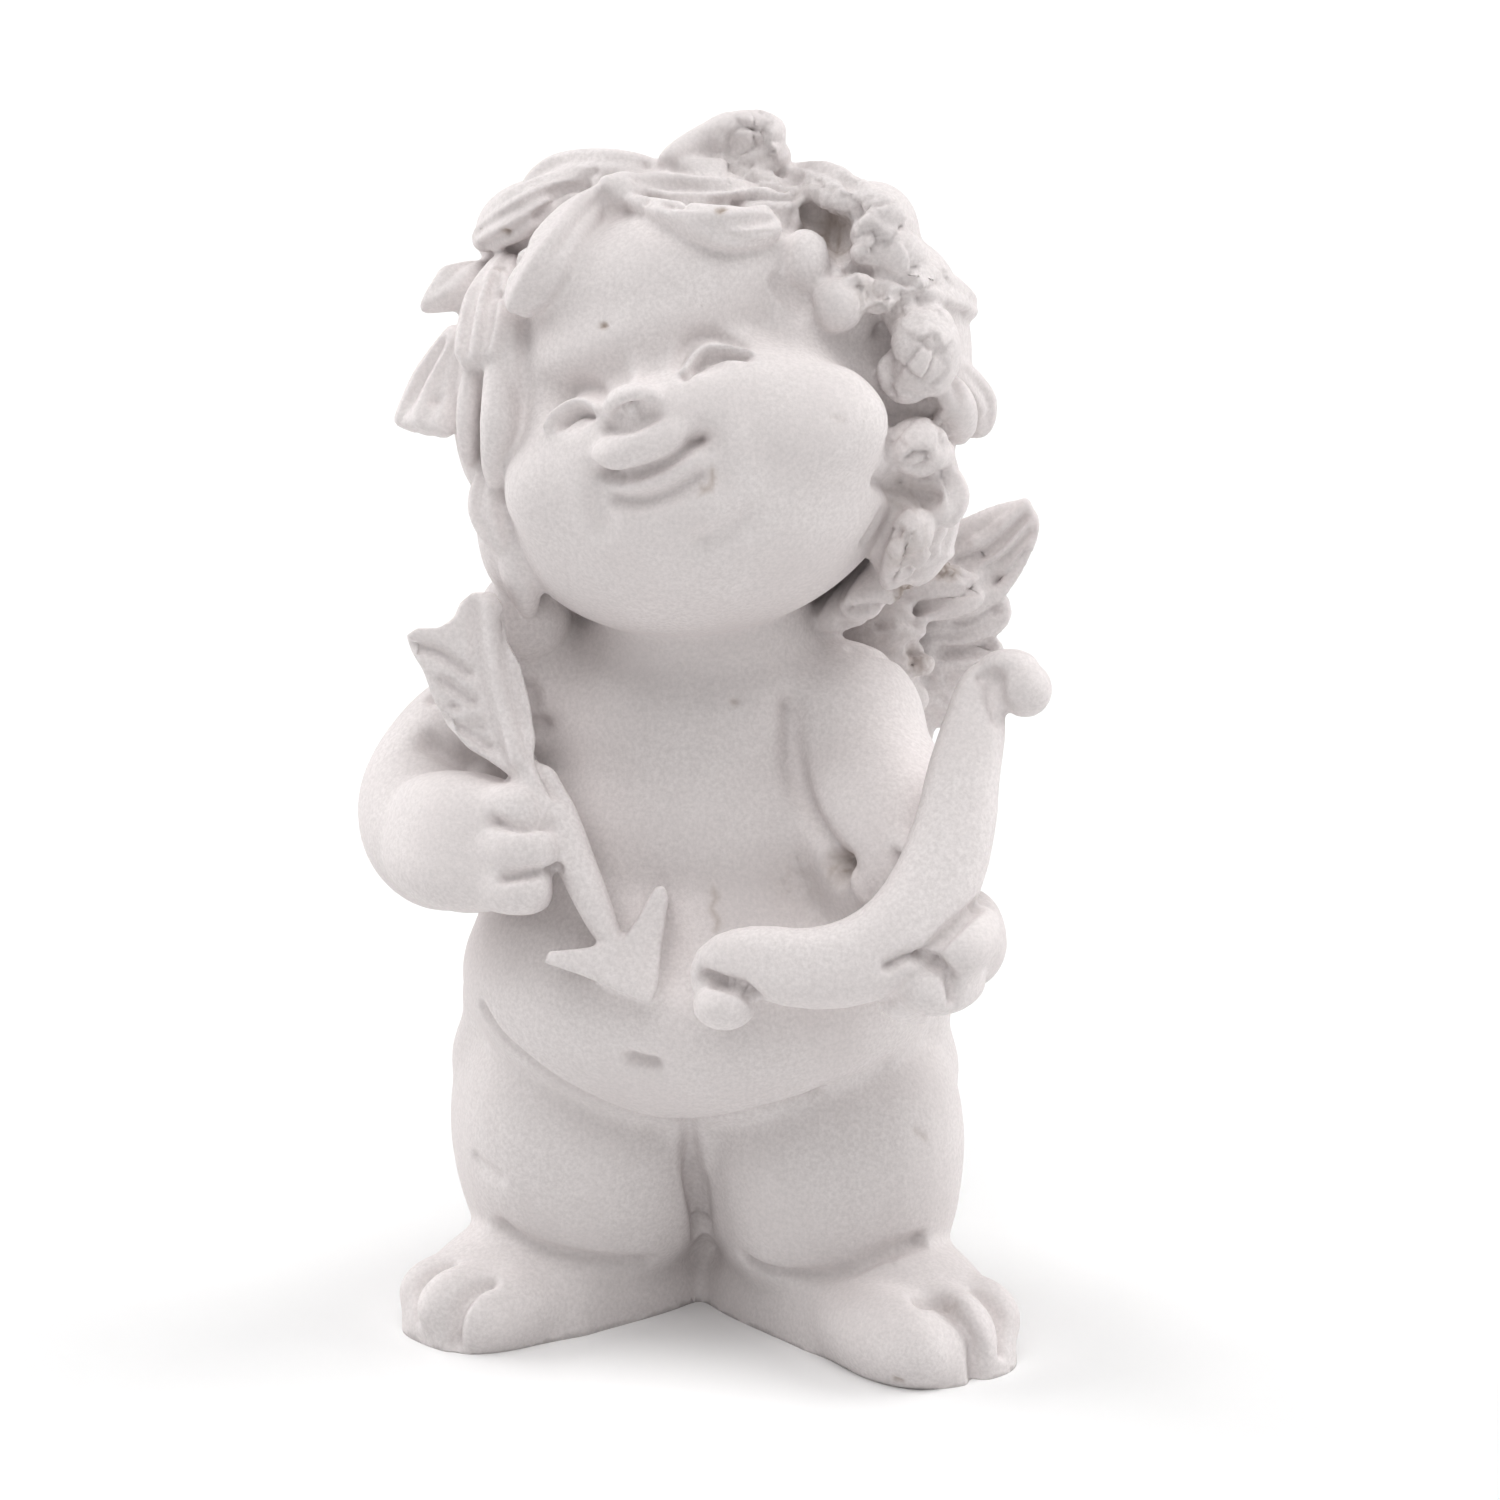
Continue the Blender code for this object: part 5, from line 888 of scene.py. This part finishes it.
def hair(sizes, skull):
    """Cap and fillings, then the named locks and knobs draped over them, and the rows at the back."""
    pose = head_pose()
    cap = ball("hair cap", *HAIR_CAP)
    cap.data.transform(pose)
    masses = [ball(name, seen(*place), half_sizes, sight_turn(0.0))
              for name, (place, half_sizes) in HAIR_MASSES.items()]
    under = fuse("hair masses", [cap] + masses, sizes.hair_softening, sizes.form_grid)
    bm = bmesh.new()
    bm.from_mesh(under.data)
    bm.from_mesh(skull.data)
    tree = BVHTree.FromBMesh(bm)
    bm.free()
    pieces = [under]
    pieces += [lock(name, tree, *numbers) for name, numbers in LOCKS.items()]
    for name, (place, half_sizes) in KNOBS.items():
        pieces.append(ball(name, draped(tree, *place), half_sizes, sight_turn(0.0)))
    for count, top, bottom, first, last, distance in BACK_ROWS:
        for i in range(count):
            bearing = first + (last - first) * (i + 0.5) / count
            swing = BACK_LOCK_SWING * math.sin(BACK_LOCK_SWING_STEP * i + top)
            bearings = (bearing - swing, bearing + swing, bearing)
            heights = (top, 0.5 * (top + bottom), bottom)
            points = [pose @ on_head(side, height, distance + rise)
                      for side, height, rise in zip(bearings, heights, BACK_LOCK_RISES)]
            thick = (BACK_LOCK_THICKNESS,) * 3
            pieces.append(limb("back lock", points, BACK_LOCK, thick, blunt=BACK_LOCK_BLUNTNESS, strands=2,
                               outward=lambda p: Vector(p) - HEAD_CENTRE))
    return pieces


def sight_limb(name, points, widths, thick, blunt=2.0, square=2.0):
    """A limb whose path is given as the eye sees it, with its thickness towards the eye."""
    return limb(name, [from_ground(*point) for point in points], widths, thick, outward=lambda p: TOWARDS,
                blunt=blunt, square=square)


def hands(sizes):
    """Both fists: palms, fingers and the thumb."""
    pieces = [sight_limb(name, points, wide, thick, PALM_BLUNTNESS, square)
              for name, (points, wide, thick, square) in PALMS.items()]
    for name, (points, wide, thick) in FINGERS.items():
        pieces.append(sight_limb(name, points, (wide,) * 3, (thick,) * 3, FINGER_BLUNTNESS,
                                 FINGER_SQUARENESS))
    return fuse("hands", pieces, sizes.hand_softening, sizes.grid)


def arrow():
    """Shaft, flat barbed head and the feathered tail."""
    path, widths = SHAFT
    return [sight_limb("shaft", path, widths, widths),
            plate("arrow head", ARROW_HEAD, ARROW_TOWARDS, HEAD_THICKNESS),
            plate("vane", VANE, VANE_TOWARDS, VANE_THICKNESS)]


def bow():
    """The recurved bow, a thick round band with curled ends."""
    pieces = [sight_limb("bow", BOW_PATH, BOW_HALF_WIDTHS, BOW_HALF_WIDTHS, BOW_BLUNTNESS, BOW_SQUARENESS)]
    for name, (place, half_sizes) in BOW_BALLS.items():
        pieces.append(ball(name, from_ground(*place), half_sizes, sight_turn(0.0)))
    return pieces


def wings():
    """Two small wings of layered feathers on the back."""
    pieces = [ball("right wing root", *WING_ROOT)]
    thick = (FEATHER_HALF_THICKNESS,) * 3
    for name, (points, widths) in FEATHERS.items():
        pieces.append(limb(name, points, widths, thick, outward=lambda p: TOWARDS, blunt=FEATHER_BLUNTNESS,
                           strands=FEATHER_RIDGES))
    return pieces + left_wing(thick)


def left_wing(thick):
    """Six feathers fanned out from their root, each with its covert in front of it."""
    root, lean = LEFT_WING_ROOT, math.radians(LEFT_WING_LEAN)
    outward = Vector((-math.cos(lean), math.sin(lean), 0.0))
    facing = Vector((-math.sin(lean), -math.cos(lean), 0.0))
    widths = [FEATHER_HALF_WIDTH * share for share in FEATHER_WIDTHS]

    def feather(name, points):
        return limb(name, points, widths, thick, outward=lambda p: facing, blunt=LEFT_FEATHER_BLUNTNESS,
                    strands=FEATHER_RIDGES)

    pieces = [ball("left wing root", root, LEFT_WING_ROOT_SIZES)]
    for i, (rise, length) in enumerate(LEFT_WING_FEATHERS):
        angle = math.radians(rise)
        start = root + Vector((0.0, 0.0, LEFT_WING_TOP - LEFT_WING_STEP * i))
        way = outward * math.cos(angle) + Vector((0.0, 0.0, math.sin(angle)))
        bend = start + way * length * FEATHER_BEND - Vector((0.0, 0.0, FEATHER_SAG * length))
        tip = start + way * length + Vector((0.0, 0.0, FEATHER_TIP_RISE * length))
        pieces.append(feather(f"left feather {i}", (start, bend, tip)))
        covert = (start, start.lerp(bend, COVERT_SHARE), start.lerp(tip, COVERT_SHARE))
        lifted = [point + facing * lift for point, lift in zip(covert, COVERT_LIFTS)]
        pieces.append(feather(f"left covert {i}", lifted))
    return pieces


def distances_to(points, path):
    """Distance of each point to a path given as a row of points."""
    best = np.full(len(points), np.inf)
    for a, b in zip(path[:-1], path[1:]):
        step = b - a
        share = np.clip((points - a) @ step / max(step @ step, 1e-12), 0.0, 1.0)
        gap = np.linalg.norm(points - a - share[:, None] * step, axis=1)
        best = np.minimum(best, gap)
    return best


class Skin:
    """The places and normals of a mesh while it is carved."""

    def __init__(self, made):
        self.mesh = made.data
        self.tree = skin_of(made)
        count = len(self.mesh.vertices)
        self.places = np.empty(count * 3)
        self.normals = np.empty(count * 3)
        self.mesh.vertices.foreach_get("co", self.places)
        self.mesh.vertices.foreach_get("normal", self.normals)
        self.places = self.places.reshape(-1, 3)
        self.normals = self.normals.reshape(-1, 3)
        self.shift = np.zeros(count)
        self.dirt_and_shade = np.zeros(count)

    def near(self, path, reach):
        """Which points lie in the box round a path."""
        low, high = path.min(axis=0) - reach, path.max(axis=0) + reach
        return np.where(((self.places > low) & (self.places < high)).all(axis=1))[0]

    def carve(self, points, depth, half_width, dirt_and_shade=0.0):
        """Press a soft groove along a path, darkened with dirt and painted shade, or raise a ridge with a
        negative depth.
        """
        path = smooth_path(points, CARVED_STATIONS)
        some = self.near(path, CARVED_REACH * half_width)
        gap = distances_to(self.places[some], path)
        fade = np.exp(-(gap / half_width) ** 2)
        self.shift[some] -= depth * fade
        self.dirt_and_shade[some] = np.maximum(self.dirt_and_shade[some], dirt_and_shade * fade)

    def hit(self, start, way):
        """The place where a ray meets the skin, or None beside it."""
        return self.tree.ray_cast(start, way)[0]

    def stroke(self, middle, places, depth, half_width, dirt_and_shade=0.0):
        """Carve along places given as the eye sees them."""
        points = []
        for across, up in places:
            start = seen(across, up, FAR, middle)
            points.append(self.hit(start, (start - EYE).normalized()))
        points = [point for point in points if point is not None]
        if len(points) > 1:
            self.carve(points, depth, half_width, dirt_and_shade)

    def comb(self):
        """Carve strands down the back of the head, from the crown to the nape."""
        pose = head_pose()
        first, last = COMBED_BEARINGS
        top, bottom = COMBED_HEIGHTS
        for i in range(COMBED_COUNT):
            bearing = first + (last - first) * (i + 0.5) / COMBED_COUNT
            start = top - (i % 3) * COMBED_STAGGER
            points = []
            for share in np.linspace(0.0, 1.0, COMBED_STATIONS):
                height = start + (bottom - start) * share
                wave = COMBED_WAVE * math.sin(COMBED_WAVE_TURN * share + COMBED_WAVE_STEP * i)
                far = pose @ on_head(bearing + wave, height, FAR)
                place = self.hit(far, (HEAD_CENTRE - far).normalized())
                if place is not None and (place - HEAD_CENTRE).length < COMBED_REACH:
                    points.append(place)
            if len(points) > 1:
                self.carve(points, *COMBED_GROOVE)

    def crumble(self, middle, place, reach, height, size, dirt_and_shade):
        """Break the skin round a place into small stepped facets, darkened with dirt and with painted shade
        in the cracks between them.
        """
        start = seen(*place, FAR, middle)
        centre = self.hit(start, (start - EYE).normalized())
        if centre is None:
            return
        centre = np.array(centre)
        some = self.near(centre[None, :], reach)
        gap = np.linalg.norm(self.places[some] - centre, axis=1)
        some, gap = some[gap < reach], gap[gap < reach]
        fade = np.clip(CRUMB_FADE * (1.0 - gap / reach), 0.0, 1.0)
        for index, share in zip(some, fade):
            place = Vector(self.places[index] / size)
            spans, cells = noise.voronoi(place)
            tilt = noise.noise_vector(cells[0] * CRUMB_TILT_NOISE)
            step = noise.noise(cells[0] * CRUMB_HEIGHT_NOISE) + tilt.dot(place - cells[0])
            crack = max(0.0, 1.0 - CRACK_NARROWNESS * (spans[1] - spans[0]))
            self.shift[index] += height * share * (CRUMB_STEP * step - CRACK_DEPTH * crack)
            stain_and_shade = dirt_and_shade * share * (FLAT_DARKENING + (1.0 - FLAT_DARKENING) * crack)
            self.dirt_and_shade[index] = max(self.dirt_and_shade[index], stain_and_shade)

    def done(self):
        """Move the skin by everything carved so far, and keep the darkening of dirt and painted shade as an
        attribute.
        """
        self.places += self.normals * self.shift[:, None]
        self.mesh.vertices.foreach_set("co", self.places.ravel())
        stain_and_shade = self.mesh.attributes.new("dirt_and_shade", "FLOAT", "POINT")
        stain_and_shade.data.foreach_set("value", self.dirt_and_shade)
        self.mesh.update()


def carve_all(made):
    """Creases, strokes and grooves, then the combed strands at the back and the crumbs."""
    noise.seed_set(CRUMB_SEED)
    skin = Skin(made)
    for stroke in (*CREASES.values(), *VANE_GROOVES.values(), *BOW_GROOVES.values(),
                   *TOE_GROOVES.values(), *BODY_MARKS.values()):
        skin.stroke(GROUND, *stroke)
    for stroke in (*FACE_STROKES.values(), *HAIR_STROKES.values(), *HEAD_MARKS.values()):
        skin.stroke(HEAD_CENTRE, *stroke)
    skin.comb()
    for middle, crumbs in ((HEAD_CENTRE, HEAD_CRUMBS), (GROUND, BODY_CRUMBS)):
        for numbers in crumbs.values():
            skin.crumble(middle, *numbers)
    skin.done()


def thin_and_cut(made, triangles):
    """Thin the skin to its triangle budget and cut the soles flat on the ground."""
    count = sum(len(face.vertices) - 2 for face in made.data.polygons)
    if count > triangles:
        thin = made.modifiers.new("Thin", "DECIMATE")
        thin.ratio = triangles / count
        evaluated(made)
    bm = bmesh.new()
    bm.from_mesh(made.data)
    geometry = bm.verts[:] + bm.edges[:] + bm.faces[:]
    cut = bmesh.ops.bisect_plane(bm, geom=geometry, dist=1e-5, plane_co=(0, 0, 0), plane_no=(0, 0, 1),
                                 clear_inner=True)
    rim = [part for part in cut["geom_cut"] if isinstance(part, bmesh.types.BMEdge)]
    bmesh.ops.holes_fill(bm, edges=rim, sides=0)
    bmesh.ops.triangulate(bm, faces=bm.faces)
    bmesh.ops.recalc_face_normals(bm, faces=bm.faces)
    bm.to_mesh(made.data)
    bm.free()


def inside_box(made, low, high):
    """Keep every point inside the solid's own box."""
    places = np.empty(len(made.data.vertices) * 3)
    made.data.vertices.foreach_get("co", places)
    places = np.clip(places.reshape(-1, 3), np.array(low), np.array(high))
    made.data.vertices.foreach_set("co", places.ravel())
    made.data.update()


def plaster(look):
    """Matte white plaster with clouds, fine grain and scattered pores, and painted shade with dirt in its
    marked hollows.
    """
    material = bpy.data.materials.new("white plaster")
    material.use_nodes = True
    tree = material.node_tree
    nodes, links = tree.nodes, tree.links
    shader = nodes["Principled BSDF"]
    shader.inputs["Roughness"].default_value = look.roughness
    shader.inputs["Specular IOR Level"].default_value = look.gloss
    coordinates = nodes.new("ShaderNodeTexCoord")

    def cloud(scale, detail, rough):
        made = nodes.new("ShaderNodeTexNoise")
        made.inputs["Scale"].default_value = scale
        made.inputs["Detail"].default_value = detail
        made.inputs["Roughness"].default_value = rough
        links.new(coordinates.outputs["Object"], made.inputs["Vector"])
        return made.outputs["Fac"]

    def ramp(value, low, high):
        made = nodes.new("ShaderNodeMapRange")
        made.inputs["From Min"].default_value = low
        made.inputs["From Max"].default_value = high
        links.new(value, made.inputs["Value"])
        return made.outputs["Result"]

    def blend(share, first, second):
        made = nodes.new("ShaderNodeMix")
        made.data_type = "RGBA"
        links.new(share, made.inputs["Factor"])
        for value, socket in ((first, made.inputs["A"]), (second, made.inputs["B"])):
            if isinstance(value, bpy.types.NodeSocket):
                links.new(value, socket)
            else:
                socket.default_value = (*value, 1.0)
        return made.outputs["Result"]

    clouds = ramp(cloud(look.cloud_scale, 4.0, 0.6), 0.42, 0.66)
    speckle = ramp(cloud(look.speck_scale, 2.0, 0.6), 0.30, 0.70)
    tint = blend(clouds, look.colour, look.shade)
    tint = blend(speckle, look.speck, tint)
    # Darken towards the hollow colour where the mesh is marked: painted shade in holes, gaps, pits and
    # cracks, and dirt such as lint
    stain_and_shade = nodes.new("ShaderNodeAttribute")
    stain_and_shade.attribute_name = "dirt_and_shade"
    tint = blend(stain_and_shade.outputs["Fac"], tint, look.hollow)
    links.new(tint, shader.inputs["Base Color"])
    pores = nodes.new("ShaderNodeTexVoronoi")
    pores.inputs["Scale"].default_value = look.pore_scale
    links.new(coordinates.outputs["Object"], pores.inputs["Vector"])
    pits = ramp(pores.outputs["Distance"], 0.0, look.pore_width)
    pit_bump = nodes.new("ShaderNodeBump")
    pit_bump.inputs["Distance"].default_value = look.pore_height
    pit_bump.inputs["Strength"].default_value = look.pore_strength
    links.new(pits, pit_bump.inputs["Height"])
    grain = nodes.new("ShaderNodeBump")
    grain.inputs["Distance"].default_value = look.grain_height
    grain.inputs["Strength"].default_value = look.grain_strength
    links.new(cloud(look.grain_scale, 3.0, 0.7), grain.inputs["Height"])
    links.new(pit_bump.outputs["Normal"], grain.inputs["Normal"])
    links.new(grain.outputs["Normal"], shader.inputs["Normal"])
    return material


class CherubFigurine(Operator):
    """Build the whole cast figure as one piece"""
    bl_idname = "cherub.figurine"
    bl_label = "Casting"

    def execute(self, context):
        sizes = context.scene.cherub_sizes
        unit = sizes.height / UNITS_TALL
        skull = head(sizes)
        pieces = hair(sizes, skull) + [body(sizes), skull, hands(sizes)] + arrow() + bow() + wings()
        made = fuse("cherub_casting", pieces, sizes.casting_softening, sizes.grid)
        carve_all(made)
        thin_and_cut(made, sizes.triangles)
        made.data.transform(Matrix.Scale(unit, 4))
        inside_box(made, *CAD_BOX)
        made.data.polygons.foreach_set("use_smooth", [True] * len(made.data.polygons))
        made.data.materials.append(plaster(context.scene.cherub_plaster))
        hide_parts(NODE)
        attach(made, "root")
        return {"FINISHED"}


def pale_floor(stage):
    """A wide plain floor."""
    bm = bmesh.new()
    bmesh.ops.create_grid(bm, x_segments=1, y_segments=1, size=0.5 * stage.floor_size)
    floor = new_object("floor", bm)
    material = bpy.data.materials.new("pale floor")
    material.use_nodes = True
    shader = material.node_tree.nodes["Principled BSDF"]
    shader.inputs["Base Color"].default_value = (*stage.floor_colour, 1.0)
    shader.inputs["Roughness"].default_value = stage.floor_roughness
    floor.data.materials.append(material)


def studio_world(stage):
    """Dim light from all round, and a white backdrop that only the camera sees."""
    world = bpy.data.worlds.new("studio")
    world.use_nodes = True
    nodes, links = world.node_tree.nodes, world.node_tree.links
    light = nodes["Background"]
    light.inputs["Color"].default_value = (1.0, 1.0, 1.0, 1.0)
    light.inputs["Strength"].default_value = stage.sky
    backdrop = nodes.new("ShaderNodeBackground")
    backdrop.inputs["Color"].default_value = (1.0, 1.0, 1.0, 1.0)
    backdrop.inputs["Strength"].default_value = stage.backdrop
    path = nodes.new("ShaderNodeLightPath")
    either = nodes.new("ShaderNodeMixShader")
    links.new(path.outputs["Is Camera Ray"], either.inputs[0])
    links.new(light.outputs["Background"], either.inputs[1])
    links.new(backdrop.outputs["Background"], either.inputs[2])
    links.new(either.outputs["Shader"], nodes["World Output"].inputs["Surface"])
    bpy.context.scene.world = world


def soft_light(name, strength, spread, bearing, height):
    """A far soft light that shines from a bearing and a height."""
    light = bpy.data.lights.new(name, "SUN")
    light.energy = strength
    light.angle = spread
    lamp = bpy.data.objects.new(name, light)
    way = Vector((math.cos(height) * math.sin(bearing), -math.cos(height) * math.cos(bearing),
                  math.sin(height)))
    lamp.rotation_euler = (-way).to_track_quat("-Z", "Y").to_euler()
    bpy.context.scene.collection.objects.link(lamp)


def soft_panel(stage):
    """A faint round panel before the chest, out of the camera's sight."""
    panel = bpy.data.lights.new("panel", "AREA")
    panel.shape = "DISK"
    panel.size = stage.panel_size
    panel.energy = stage.glow
    lamp = bpy.data.objects.new("panel", panel)
    lamp.location = (0.0, -stage.panel_distance, stage.panel_height)
    lamp.rotation_euler = (stage.panel_tilt, 0.0, 0.0)
    lamp.visible_camera = False
    bpy.context.scene.collection.objects.link(lamp)


def front_camera(stage, unit):
    """The camera, along the line of sight."""
    camera = bpy.data.cameras.new("camera")
    camera.sensor_width = 36.0
    camera.lens = stage.lens
    camera.clip_start = 0.01
    eye = bpy.data.objects.new("camera", camera)
    eye.location = (SIGHT_MIDDLE + TOWARDS * stage.distance) * unit
    eye.rotation_euler = (-TOWARDS).to_track_quat("-Z", "Y").to_euler()
    bpy.context.scene.collection.objects.link(eye)
    bpy.context.scene.camera = eye


class CherubStageBuild(Operator):
    """Build the floor, the lights and the camera"""
    bl_idname = "cherub.stage"
    bl_label = "Stage"

    def execute(self, context):
        scene = context.scene
        stage = scene.cherub_stage
        pale_floor(stage)
        studio_world(stage)
        soft_light("top", stage.top, stage.spread, 0.0, stage.top_height)
        soft_light("front", stage.front, stage.spread, 0.0, stage.front_height)
        for name, side in (("behind left", -1.0), ("behind right", 1.0)):
            soft_light(name, stage.behind, stage.spread, side * stage.behind_bearing, stage.behind_height)
        soft_panel(stage)
        front_camera(stage, scene.cherub_sizes.height / UNITS_TALL)
        scene.view_settings.view_transform = "Standard"
        scene.view_settings.gamma = stage.gamma
        return {"FINISHED"}


class CherubPanel(Panel):
    """Sizes, colours and the pieces, in the sidebar."""
    bl_idname = "VIEW3D_PT_cherub"
    bl_label = "Plaster cherub"
    bl_space_type = "VIEW_3D"
    bl_region_type = "UI"
    bl_category = "Cherub"

    def draw(self, context):
        layout = self.layout
        for name in ("cherub_sizes", "cherub_plaster", "cherub_stage"):
            group = getattr(context.scene, name)
            box = layout.box()
            for key in group.__annotations__:
                box.prop(group, key)
        layout.operator(CherubFigurine.bl_idname)
        layout.operator(CherubStageBuild.bl_idname)


CLASSES = (CherubSizes, CherubPlaster, CherubStage, CherubFigurine, CherubStageBuild, CherubPanel)


def register():
    """Register the classes and hang their settings on the scene."""
    for cls in CLASSES:
        bpy.utils.register_class(cls)
    bpy.types.Scene.cherub_sizes = PointerProperty(type=CherubSizes)
    bpy.types.Scene.cherub_plaster = PointerProperty(type=CherubPlaster)
    bpy.types.Scene.cherub_stage = PointerProperty(type=CherubStage)


def unregister():
    """Take the settings and the classes away again."""
    del bpy.types.Scene.cherub_sizes
    del bpy.types.Scene.cherub_plaster
    del bpy.types.Scene.cherub_stage
    for cls in reversed(CLASSES):
        bpy.utils.unregister_class(cls)


def main():
    """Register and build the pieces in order."""
    register()
    bpy.ops.cherub.figurine()
    bpy.ops.cherub.stage()


if __name__ == "__main__":
    main()
